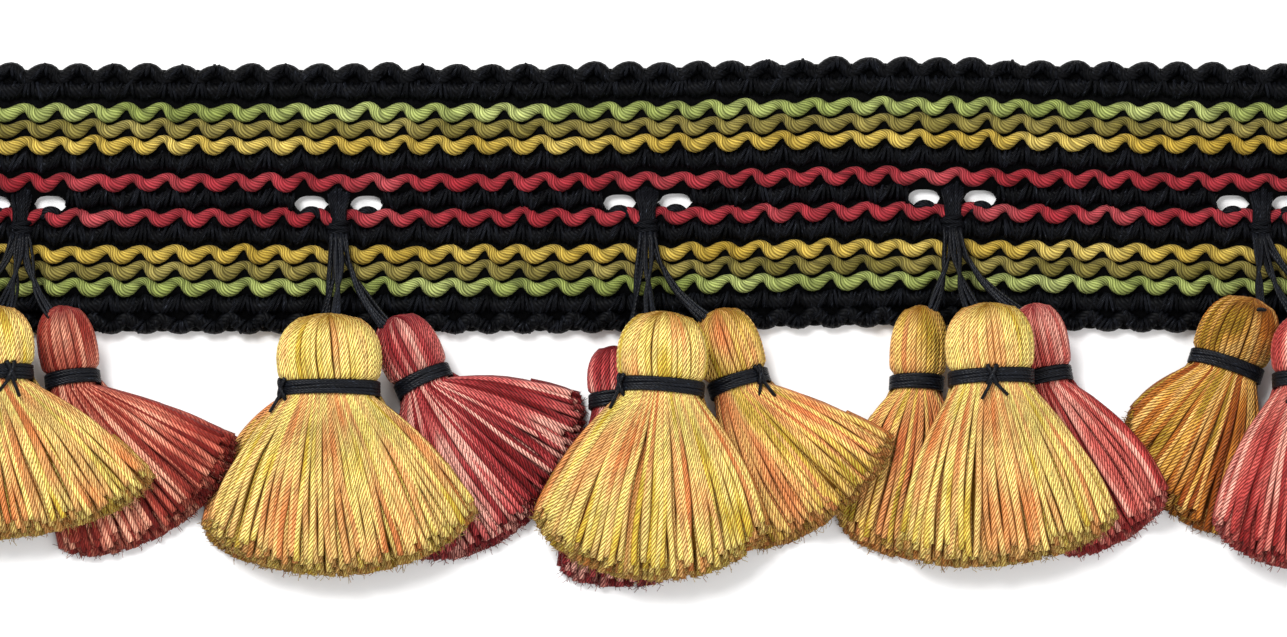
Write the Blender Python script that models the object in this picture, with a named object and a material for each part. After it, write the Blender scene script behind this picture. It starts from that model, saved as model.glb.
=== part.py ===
"""Tassel fringe trim: a flat crocheted heading with clusters of yarn tassels.

The trim lies on its back. +X runs along its length, +Y points from the tassels
to the heading's plain edge, and +Z rises off the surface that it lies on. The
origin is the middle of the heading's back face, on the bar between the two
eyelets of the middle cluster.
"""

import math
from collections import namedtuple

import bmesh
import bpy
from mathutils import Matrix, Vector

MM = 0.001

# Driving dimensions, in millimetres.
PITCH = 51.7                 # one tassel cluster to the next
WAVES_PER_PITCH = 9          # scallops of the crochet in one pitch
HEADING_TOP = 21.9           # plain long edge, from the origin
HEADING_FOOT = -22.5         # long edge above the tassels
HEADING_THICK = 2.6
SCALLOP = 0.55               # half the depth of an edge scallop
BOW = 1.1                    # how far the heading bows towards +Y
BOW_PLACE = 42.0             # where the bow is highest
BOW_SPREAD = 36.0

EYELET_LONG = 5.2
EYELET_HIGH = 2.8
BAR_WIDE = 4.2               # bar between a cluster's two eyelets
EYELET_LIFT = -0.9           # eyelets' centre line, across the heading

NECK_HALF_LONG = 1.75        # half the length of the groove that a tie sits in
TIE_HALF_LONG = 1.4
TIE_WALL = 0.9
TIE_CLEAR = 0.45             # tie's inside to the neck
TIE_SIDES = 14
HANGER_GAP = 0.35            # hanger's end to the tassel's head
HANGER_REST = 0.35           # hanger's underside above the heading

TOP_POINTS = 8               # points across the upper side of a tassel section
HEAD_WIDEST = 0.38           # share of the head's height where it is widest
HEAD_DOME = 2.3              # squareness of the head's outline above that
HEAD_TAPER = 0.07            # how much the head narrows from there to its foot
HEAD_FOOT = 0.93             # width of the head's foot, of its widest
GROOVE_FLAT = 0.98           # share of the neck groove that is straight
SKIRT_START = 1.02           # skirt's width where it leaves the neck, of the neck's
SKIRT_BEND = 0.42            # share of a strand's length at which it bends outwards
TOP_DOME = 0.8               # squareness of a skirt's upper side
SOLE_FLAT = 1.5              # how level its underside is
CREASE = 50                  # degrees; edges sharper than this stay sharp
SETTLE_LONG = 0.42           # share of the skirt in which it comes down from the neck
HEM_START = 0.45             # share of the skirt from which it thins to the hem
LIFT_SPREAD = 0.32           # share of the skirt's width over which a tip rises
LIFT_START = 0.3             # share of its length where it starts to rise
LIFT_LONG = 0.45
HEAD_ROWS = (0.93, 0.74, 0.48, 0.24)       # share of the head's height
SKIRT_ROWS = (0.0, 0.16, 0.36, 0.58, 0.8, 1.0)   # share of the skirt's length

Pile = namedtuple("Pile", "neck_z head_deep neck_deep skirt_low hem_low skirt_deep hem_deep")
# How high each pile of tassels lies: the under ones on the surface, the front
# one on top of them. The neck's centre height, half depths of head and neck,
# heights of the skirt's underside, and its full depth at the middle and the hem.
UNDER = Pile(3.45, 3.1, 2.0, 0.0, 0.0, 4.4, 2.8)
OVER = Pile(11.3, 4.6, 3.2, 5.4, 3.8, 5.0, 3.8)

Tassel = namedtuple(
    "Tassel",
    "name yarn pile bar neck_x neck_y lean head_wide head_long head_z "
    "left right left_long mid_long right_long bulge tip_lift lift_from")
# bar: number of the cluster; neck_x: from the cluster's bar; lean: of the head,
# in degrees; head_wide: half width; head_z: height of the head's top. Then the
# skirt. left, right: the fan's angles from straight down; ..._long: the skirt
# along its left edge, its middle and its right edge; bulge: how much wider the
# strands leave the neck than they end; tip_lift: how far the right-hand tip
# rises over the neighbour, from lift_from (0 at the left edge, 1 at the right).
TASSELS = (
    Tassel("1_left", "gold", UNDER, 0, -15.8, -30.3, 0, 4.8, 11.5, 7.7,
           -12, 5, 28.0, 29.0, 28.0, 1.0, 0.0, 0.0),
    Tassel("1_front", "gold", OVER, 0, -4.3, -28.9, 2, 7.3, 11.2, 12.1,
           -32, 57, 31.0, 28.3, 34.2, 1.1, 0.0, 0.0),
    Tassel("1_right", "red", UNDER, 0, 8.6, -29.9, 7, 4.9, 12.2, 8.4,
           -4, 69, 30.5, 30.5, 30.0, 1.1, 4.2, 0.56),
    Tassel("2_left", "gold", UNDER, 1, -5.7, -31.6, -6, 4.4, 7.2, 3.6,
           -36, 12, 30.6, 31.0, 31.0, 2.0, 0.0, 0.0),
    Tassel("2_front", "gold", OVER, 1, -1.2, -31.4, 0, 8.7, 12.3, 11.9,
           -41, 50, 33.1, 31.8, 34.1, 1.1, 0.0, 0.0),
    Tassel("2_right", "red", UNDER, 1, 14.0, -30.1, 24, 5.2, 11.5, 7.5,
           -3, 86, 31.7, 29.5, 26.5, 1.3, 0.0, 0.0),
    Tassel("3_left", "red", UNDER, 2, -5.5, -33.6, 0, 4.5, 8.9, 3.6,
           -18, 19, 31.5, 31.8, 32.5, 1.0, 0.0, 0.0),
    Tassel("3_front", "gold", OVER, 2, 2.3, -31.4, -4, 7.5, 12.3, 11.9,
           -44, 37, 32.5, 33.0, 31.5, 1.1, 0.0, 0.0),
    Tassel("3_right", "gold", UNDER, 2, 15.2, -31.1, 17, 5.5, 12.6, 7.45,
           5, 70, 29.7, 28.0, 29.1, 1.15, 4.8, 0.22),
    Tassel("4_left", "gold", UNDER, 3, -6.0, -31.6, -3, 4.8, 12.8, 7.2,
           -29, 11, 28.1, 29.7, 30.5, 2.0, 0.0, 0.0),
    Tassel("4_front", "gold", OVER, 3, 6.0, -30.4, 2, 7.4, 12.2, 12.1,
           -28, 42, 34.6, 32.0, 34.0, 1.1, 0.0, 0.0),
    Tassel("4_right", "red", UNDER, 3, 15.1, -30.3, 10, 5.1, 12.3, 8.0,
           5, 47, 31.0, 31.0, 29.6, 1.8, 5.0, 0.62),
    Tassel("5_left", "gold", UNDER, 4, -5.8, -27.7, -18, 6.6, 11.6, 14.0,
           -64, 9, 18.5, 25.8, 30.0, 1.0, 0.0, 0.0),
    Tassel("5_front", "red", OVER, 4, 8.2, -29.9, 0, 7.3, 11.0, 12.6,
           -34, 34, 31.0, 32.3, 31.0, 1.1, 0.0, 0.0),
    Tassel("5_right", "gold", UNDER, 4, 18.8, -30.3, 8, 4.8, 12.0, 7.8,
           -5, 12, 29.0, 29.0, 28.5, 1.0, 0.0, 0.0),
)
BAR_SHIFTS = (-0.5, 0.8, 0.6, -0.1, -0.3)     # each cluster's bar from its even place

Hanger = namedtuple("Hanger", "name start thick sag")
# start: from the cluster's bar; thick: radius; sag: sideways slack at mid length.
HANGERS = (
    Hanger("left", -1.35, 0.45, -0.4),
    Hanger("front", 0.0, 0.6, -0.3),
    Hanger("right", 1.35, 0.45, 0.5),
)
HANGER_START_Y = -2.9
HANGER_STEPS = 3
HANGER_CLIMB = 1.25          # how late a hanger climbs from the heading to the head

Knot = namedtuple("Knot", "angle height")
# Where each tie is knotted, in degrees round the neck from its right side over
# the top; a tie that is not listed shows no knot.
KNOTS = {
    "2_front": Knot(152, 0.8), "3_front": Knot(152, 0.8), "3_right": Knot(48, 0.7),
    "4_front": Knot(90, 0.9), "5_front": Knot(120, 0.7), "1_front": Knot(60, 0.7),
}
KNOT_SPREAD = 16.0

COLOURS = {
    "heading": (0.012, 0.012, 0.017, 1.0),
    "gold": (0.68, 0.42, 0.10, 1.0),
    "red": (0.42, 0.05, 0.07, 1.0),
    "binding": (0.010, 0.010, 0.014, 1.0),
}
ROUGHNESS = {"heading": 0.9, "gold": 0.55, "red": 0.55, "binding": 0.5}


def clear_scene():
    """Remove every object that is in the file."""
    for item in list(bpy.data.objects):
        bpy.data.objects.remove(item, do_unlink=True)


def make_collection(name):
    """Return a new collection linked to the scene."""
    group = bpy.data.collections.new(name)
    bpy.context.scene.collection.children.link(group)
    return group


def make_material(name):
    """Return the plain cloth or yarn material of this name."""
    material = bpy.data.materials.new(name)
    material.use_nodes = True
    shader = material.node_tree.nodes["Principled BSDF"]
    shader.inputs["Base Color"].default_value = COLOURS[name]
    shader.inputs["Roughness"].default_value = ROUGHNESS[name]
    shader.inputs["Metallic"].default_value = 0.0
    return material


def bow(x):
    """How far the heading has shifted towards +Y at x."""
    return BOW * math.exp(-((x - BOW_PLACE) / BOW_SPREAD) ** 2)


def bar_x(bar):
    """Middle of a cluster's bar along the length."""
    middle = (len(BAR_SHIFTS) - 1) / 2
    return (bar - middle) * PITCH + BAR_SHIFTS[bar]


def direction(degrees):
    """Unit vector at an angle from straight down, positive to the right."""
    turn = math.radians(degrees)
    return Vector((math.sin(turn), -math.cos(turn), 0.0))


def smooth(value):
    """Ease from 0 to 1."""
    value = min(max(value, 0.0), 1.0)
    return value * value * (3 - 2 * value)


# ---- heading ---------------------------------------------------------------

def scalloped_edge(level, side):
    """Points of the long edge at this level, left to right; side is +1 at the plain edge."""
    points_per_wave = 4
    waves = WAVES_PER_PITCH * len(BAR_SHIFTS)
    length = PITCH * len(BAR_SHIFTS)
    steps = waves * points_per_wave
    points = []
    for step in range(steps + 1):
        x = length * (step / steps - 0.5)
        crest = 2 * abs(math.cos(math.pi * waves * step / steps)) - 1
        points.append((x, level + side * SCALLOP * crest + bow(x)))
    return points


def eyelet_outline(centre_x):
    """Rounded slot, clockwise."""
    corner = EYELET_HIGH / 2
    straight = EYELET_LONG / 2 - corner
    y = EYELET_LIFT + bow(centre_x)
    points = []
    for end, turn in ((1, 90), (-1, 270)):
        for step in range(5):
            angle = math.radians(turn - 45 * step)
            points.append((centre_x + end * straight + corner * math.cos(angle),
                           y + corner * math.sin(angle)))
    return points


def add_flat_spline(curve, points):
    """Add one closed outline to a flat curve."""
    spline = curve.splines.new("POLY")
    spline.points.add(len(points) - 1)
    for place, (x, y) in zip(spline.points, points):
        place.co = (x * MM, y * MM, 0.0, 1.0)
    spline.use_cyclic_u = True


def flat_solid(name, outlines, half_thick):
    """Return a mesh object made from flat outlines given a thickness."""
    curve = bpy.data.curves.new(name + "_outline", "CURVE")
    curve.dimensions = "2D"
    curve.fill_mode = "BOTH"
    curve.extrude = half_thick * MM
    for outline in outlines:
        add_flat_spline(curve, outline)
    return curve_to_mesh(name, curve)


def curve_to_mesh(name, curve):
    """Turn a curve into a closed mesh object."""
    guide = bpy.data.objects.new(name + "_curve", curve)
    bpy.context.scene.collection.objects.link(guide)
    bpy.context.view_layer.update()
    evaluated = guide.evaluated_get(bpy.context.evaluated_depsgraph_get())
    mesh = bpy.data.meshes.new_from_object(evaluated)
    bpy.data.objects.remove(guide, do_unlink=True)
    cage = bmesh.new()
    cage.from_mesh(mesh)
    bmesh.ops.remove_doubles(cage, verts=cage.verts, dist=0.00001)
    bmesh.ops.recalc_face_normals(cage, faces=cage.faces)
    for side in (1, -1):
        even_out_flat(cage, side)
    cage.to_mesh(mesh)
    cage.free()
    mesh.name = name
    return bpy.data.objects.new(name, mesh)


def even_out_flat(cage, side):
    """Turn the thin triangles of a level face, up or down, into stout ones."""
    level = [face for face in cage.faces if face.normal.z * side > 0.99]
    members = set(level)
    inner = [edge for edge in cage.edges
             if len(edge.link_faces) == 2 and all(face in members for face in edge.link_faces)]
    bmesh.ops.beautify_fill(cage, faces=level, edges=inner)


def build_heading():
    """The flat braid with its scalloped edges and its eyelets."""
    outline = scalloped_edge(HEADING_FOOT, -1) + scalloped_edge(HEADING_TOP, 1)[::-1]
    outlines = [outline]
    offset = (BAR_WIDE + EYELET_LONG) / 2
    for bar in range(len(BAR_SHIFTS)):
        for side in (-1, 1):
            outlines.append(eyelet_outline(bar_x(bar) + side * offset))
    heading = flat_solid("heading", outlines, HEADING_THICK / 2)
    heading.data.transform(Matrix.Translation((0, 0, HEADING_THICK / 2 * MM)))
    return heading


# ---- tassels ---------------------------------------------------------------

def neck_place(tassel):
    """Middle of the tassel's neck in plan."""
    x = bar_x(tassel.bar) + tassel.neck_x
    return Vector((x, tassel.neck_y + bow(x), 0.0))


def neck_half_width(tassel):
    """Half width of the bound neck, inside its tie."""
    return tassel.head_wide - TIE_CLEAR - TIE_WALL


def head_half_width(tassel, share):
    """Half width of the head at a share of its height above the neck."""
    if share > HEAD_WIDEST:
        rise = (share - HEAD_WIDEST) / (1 - HEAD_WIDEST)
        return tassel.head_wide * (1 - rise ** HEAD_DOME) ** (1 / HEAD_DOME)
    drop = (HEAD_WIDEST - share) / HEAD_WIDEST
    return tassel.head_wide * (1 - HEAD_TAPER * drop ** 2)


def skirt_point(tassel, across, along):
    """Plan point of the skirt; across runs -1 to 1, along runs 0 to 1.

    Each strand is a bend from the neck to the hem, drawn towards one control
    point that lies on the wider line along which the strand leaves the neck.
    """
    neck = neck_place(tassel)
    side = Matrix.Rotation(math.radians(tassel.lean), 4, "Z") @ Vector((1, 0, 0))
    middle = (tassel.left + tassel.right) / 2
    angle = middle + across * (tassel.right - tassel.left) / 2
    sway = (tassel.right_long - tassel.left_long) / 2
    crown = (tassel.right_long + tassel.left_long) / 2 - tassel.mid_long
    length = tassel.mid_long + sway * across + crown * across ** 2
    start = neck + side * across * neck_half_width(tassel) * SKIRT_START
    start += direction(tassel.lean) * NECK_HALF_LONG
    end = neck + direction(angle) * length
    leave = direction(middle + (angle - middle) * tassel.bulge)
    control = start + leave * length * SKIRT_BEND
    return start * (1 - along) ** 2 + control * 2 * along * (1 - along) + end * along ** 2


def section(centre_of, half_deep, centre_z, flat_sole):
    """One closed ring of a tassel: over the top left to right, then back below.

    centre_of gives the plan point for a value across from -1 to 1. The upper
    side is domed; a flat sole is cut level where it would lie on something.
    """
    ring = []
    last = TOP_POINTS - 1
    order = [(step, 1) for step in range(TOP_POINTS)]
    order += [(step, -1) for step in range(last - 1, 0, -1)]
    for step, side in order:
        across = -math.cos(math.pi * step / last)
        swell = math.sqrt(max(0.0, 1 - across * across))
        if flat_sole:
            swell = swell ** TOP_DOME if side > 0 else min(1.0, SOLE_FLAT * swell)
        point = centre_of(across).copy()
        lift = centre_z(across) if callable(centre_z) else centre_z
        point.z = lift + side * half_deep * swell
        ring.append(point)
    return ring


def head_sections(tassel):
    """Rings from just under the head's top down through the neck groove."""
    neck = neck_place(tassel)
    turn = Matrix.Rotation(math.radians(tassel.lean), 4, "Z")
    side = turn @ Vector((1, 0, 0))
    up = turn @ Vector((0, 1, 0))
    pile = tassel.pile

    def ring(height, half_wide, half_deep):
        centre = neck + up * height
        rise = max(0.0, height - NECK_HALF_LONG) / (tassel.head_long - NECK_HALF_LONG)
        level = pile.neck_z + (tassel.head_z - pile.neck_z) * rise
        return section(lambda across: centre + side * across * half_wide,
                       half_deep, level, False)

    rings = []
    for share in HEAD_ROWS:
        half_wide = head_half_width(tassel, share)
        half_deep = pile.head_deep * half_wide / tassel.head_wide
        rings.append(ring(tassel.head_long * share, half_wide, half_deep))
    foot_deep = pile.neck_deep + TIE_CLEAR + TIE_WALL / 2
    rings.append(ring(NECK_HALF_LONG, tassel.head_wide * HEAD_FOOT, foot_deep))
    for end in (1, -1):
        rings.append(ring(end * NECK_HALF_LONG * GROOVE_FLAT, neck_half_width(tassel), pile.neck_deep))
    return rings


def skirt_sections(tassel):
    """Rings down the skirt to its cut hem."""
    pile = tassel.pile
    rings = []
    for along in SKIRT_ROWS:
        settle = smooth(along / SETTLE_LONG)
        deep = pile.neck_deep * 2 + (pile.skirt_deep - pile.neck_deep * 2) * settle
        thin = smooth((along - HEM_START) / (1 - HEM_START))
        deep += (pile.hem_deep - pile.skirt_deep) * thin
        low = pile.neck_z - pile.neck_deep
        low += (pile.skirt_low - low) * settle
        low += (pile.hem_low - pile.skirt_low) * thin

        def level(across, low=low, deep=deep, along=along):
            reach = smooth(((across + 1) / 2 - tassel.lift_from) / LIFT_SPREAD)
            reach *= smooth((along - LIFT_START) / LIFT_LONG)
            return low + deep / 2 + tassel.tip_lift * reach

        rings.append(section(lambda across, along=along: skirt_point(tassel, across, along),
                             deep / 2, level, True))
    return rings


def loft(name, top, rings):
    """Closed solid from a top point, matching rings and a cut last ring."""
    cage = bmesh.new()
    pole = cage.verts.new(top * MM)
    rows = [[cage.verts.new(point * MM) for point in ring] for ring in rings]
    count = len(rows[0])
    for step in range(count):
        following = (step + 1) % count
        cage.faces.new((pole, rows[0][step], rows[0][following]))
        for upper, lower in zip(rows, rows[1:]):
            cage.faces.new((upper[step], lower[step], lower[following], upper[following]))
    hem = rows[-1]
    last = TOP_POINTS - 1
    for step in range(last):
        corners = [hem[step], hem[-step % count], hem[-(step + 1) % count], hem[step + 1]]
        unique = [corner for place, corner in enumerate(corners) if corner not in corners[:place]]
        cage.faces.new(unique)
    bmesh.ops.triangulate(cage, faces=cage.faces)
    bmesh.ops.recalc_face_normals(cage, faces=cage.faces)
    mesh = bpy.data.meshes.new(name)
    cage.to_mesh(mesh)
    cage.free()
    mesh.shade_smooth()
    mesh.set_sharp_from_angle(angle=math.radians(CREASE))
    return bpy.data.objects.new(name, mesh)


def head_top(tassel):
    """Top point of the tassel's head."""
    up = Matrix.Rotation(math.radians(tassel.lean), 4, "Z") @ Vector((0, 1, 0))
    point = neck_place(tassel) + up * tassel.head_long
    point.z = tassel.head_z
    return point


def build_tassel(tassel):
    """Head, neck and skirt in one piece."""
    rings = head_sections(tassel) + skirt_sections(tassel)
    return loft("tassel_" + tassel.name, head_top(tassel), rings)


# ---- ties and hangers ------------------------------------------------------

def ellipse(half_wide, half_deep, knot=None):
    """Outline of a tie, with its knot standing out of it."""
    points = []
    for step in range(TIE_SIDES):
        degrees = 360 * step / TIE_SIDES
        swell = 0.0
        if knot:
            swell = knot.height * math.exp(-((degrees - knot.angle) / KNOT_SPREAD) ** 2)
        turn = math.radians(degrees)
        points.append(((half_wide + swell) * math.cos(turn), (half_deep + swell) * math.sin(turn)))
    return points


def build_tie(tassel):
    """Ring of wound yarn in the neck's groove."""
    inner_wide = neck_half_width(tassel) + TIE_CLEAR
    inner_deep = tassel.pile.neck_deep + TIE_CLEAR
    outer = ellipse(inner_wide + TIE_WALL, inner_deep + TIE_WALL, KNOTS.get(tassel.name))
    tie = flat_solid("tie_" + tassel.name, [outer, ellipse(inner_wide, inner_deep)], TIE_HALF_LONG)
    centre = neck_place(tassel)
    centre.z = tassel.pile.neck_z
    stand = Matrix.Rotation(math.radians(90), 4, "X")
    lean = Matrix.Rotation(math.radians(tassel.lean), 4, "Z")
    tie.data.transform(Matrix.Translation(centre * MM) @ lean @ stand)
    return tie


def build_hanger(tassel, hanger):
    """Yarn from the bar between the eyelets to the top of the tassel's head."""
    x = bar_x(tassel.bar) + hanger.start
    level = HEADING_THICK + HANGER_REST + hanger.thick
    start = Vector((x, HANGER_START_Y + bow(x), level))
    end = head_top(tassel)
    pull = (start - end).normalized()
    end += pull * (HANGER_GAP + hanger.thick)
    points = []
    for step in range(HANGER_STEPS + 1):
        share = step / HANGER_STEPS
        point = start.lerp(end, share)
        point.x += hanger.sag * math.sin(math.pi * share)
        point.z = start.z + (end.z - start.z) * share ** HANGER_CLIMB
        points.append(point)
    curve = bpy.data.curves.new("hanger_route", "CURVE")
    curve.dimensions = "3D"
    curve.bevel_depth = hanger.thick * MM
    curve.bevel_resolution = 2
    curve.use_fill_caps = True
    spline = curve.splines.new("POLY")
    spline.points.add(len(points) - 1)
    for place, point in zip(spline.points, points):
        place.co = (point.x * MM, point.y * MM, point.z * MM, 1.0)
    return curve_to_mesh("hanger_" + tassel.name, curve)


def dress(item, material, group):
    """Give a piece its material and put it in the object's collection."""
    item.data.materials.clear()
    item.data.materials.append(material)
    group.objects.link(item)


def main():
    """Build the whole trim."""
    clear_scene()
    group = make_collection("tassel_fringe_trim")
    materials = {name: make_material(name) for name in COLOURS}
    dress(build_heading(), materials["heading"], group)
    hangers = {hanger.name: hanger for hanger in HANGERS}
    for tassel in TASSELS:
        side = tassel.name.split("_")[1]
        dress(build_tassel(tassel), materials[tassel.yarn], group)
        dress(build_tie(tassel), materials["binding"], group)
        dress(build_hanger(tassel, hangers[side]), materials["binding"], group)


main()
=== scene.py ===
"""Looks of a tassel fringe trim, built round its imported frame.

The trim lies on its back as in the frame: +X runs along it, +Y points from the
tassels to the heading's plain edge and +Z rises off the table. Sizes are in
millimetres, and become metres when a mesh is written.
"""

import logging
import math
from dataclasses import dataclass, field
from enum import Enum

import bpy
import numpy as np
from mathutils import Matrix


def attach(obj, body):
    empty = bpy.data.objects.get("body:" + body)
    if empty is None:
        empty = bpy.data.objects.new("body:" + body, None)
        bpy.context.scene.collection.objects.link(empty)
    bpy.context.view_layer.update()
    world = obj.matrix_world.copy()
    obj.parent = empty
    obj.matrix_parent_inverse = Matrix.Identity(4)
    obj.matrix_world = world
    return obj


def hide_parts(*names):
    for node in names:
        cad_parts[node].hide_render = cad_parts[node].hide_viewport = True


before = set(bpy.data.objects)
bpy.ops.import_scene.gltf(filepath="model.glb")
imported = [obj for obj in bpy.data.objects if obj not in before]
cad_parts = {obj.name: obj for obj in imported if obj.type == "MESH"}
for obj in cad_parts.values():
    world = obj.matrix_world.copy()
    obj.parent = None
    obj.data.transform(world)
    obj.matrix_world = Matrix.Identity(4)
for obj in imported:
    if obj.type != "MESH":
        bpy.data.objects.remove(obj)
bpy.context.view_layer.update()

log = logging.getLogger("tassel_fringe_trim")

MM = 0.001
BODY = "root"
UP = np.array([0.0, 0.0, 1.0])

# Driving dimensions of the trim, in millimetres.
PITCH = 51.7                    # one cluster of tassels to the next
CLUSTERS = 5
WAVES_PER_PITCH = 9             # waves of the crochet in one pitch
WAVE = PITCH / WAVES_PER_PITCH
LENGTH = PITCH * CLUSTERS
ROW_END = LENGTH / 2 - 0.3      # where the rows stop, short of the cut end
BAR_SHIFTS = (-0.5, 0.8, 0.6, -0.1, -0.3)
BOW = 1.1                       # how far the heading bows towards +Y
BOW_PLACE = 42.0                # x of the bow's middle
BOW_SPREAD = 36.0

EYELET_LONG = 5.2
EYELET_HIGH = 2.8
EYELET_LIFT = -0.9
BAR_WIDE = 4.2
EYELET_STEP = (BAR_WIDE + EYELET_LONG) / 2      # an eyelet's middle from its bar's

NECK_HALF_LONG = 1.75           # half the length of the groove that a tie sits in
TIE_WALL = 0.9
TIE_CLEAR = 0.45
HEAD_WIDEST = 0.38              # share of a head's height where it is widest
HEAD_DOME = 2.3                 # squareness of its outline above that
HEAD_TURN = 0.55                # share of a head strand's length at which that is
SKIRT_BEND = 0.42               # share of a strand's length at which it bends outwards


def bow(x: np.ndarray) -> np.ndarray:
    """How far the heading has shifted towards +Y at x."""
    return BOW * np.exp(-((np.asarray(x) - BOW_PLACE) / BOW_SPREAD) ** 2)


def bar_x(cluster: int) -> float:
    """Middle of a cluster's bar along the length."""
    return (cluster - (CLUSTERS - 1) / 2) * PITCH + BAR_SHIFTS[cluster]


def smooth(value: np.ndarray) -> np.ndarray:
    """Ease from 0 to 1."""
    value = np.clip(value, 0.0, 1.0)
    return value * value * (3 - 2 * value)


def unit(vectors: np.ndarray) -> np.ndarray:
    """The vectors at length 1, along the last axis."""
    size = np.linalg.norm(vectors, axis=-1, keepdims=True)
    return vectors / np.maximum(size, 1e-9)


def jitter(chance: np.random.Generator, size: float, count: int) -> np.ndarray:
    """A small chance difference for each of the yarns, as a column."""
    return chance.normal(0, size, (count, 1))


def tint(red: int, green: int, blue: int) -> tuple[float, float, float, float]:
    """Linear colour of a display colour given as 0 to 255.

    Args:
        red: Share of red.
        green: Share of green.
        blue: Share of blue.

    Returns:
        Linear red, green, blue and an opaque alpha.
    """
    levels = [((level / 255 + 0.055) / 1.055) ** 2.4 for level in (red, green, blue)]
    return (*levels, 1.0)


# ---- meshes ----------------------------------------------------------------


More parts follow.
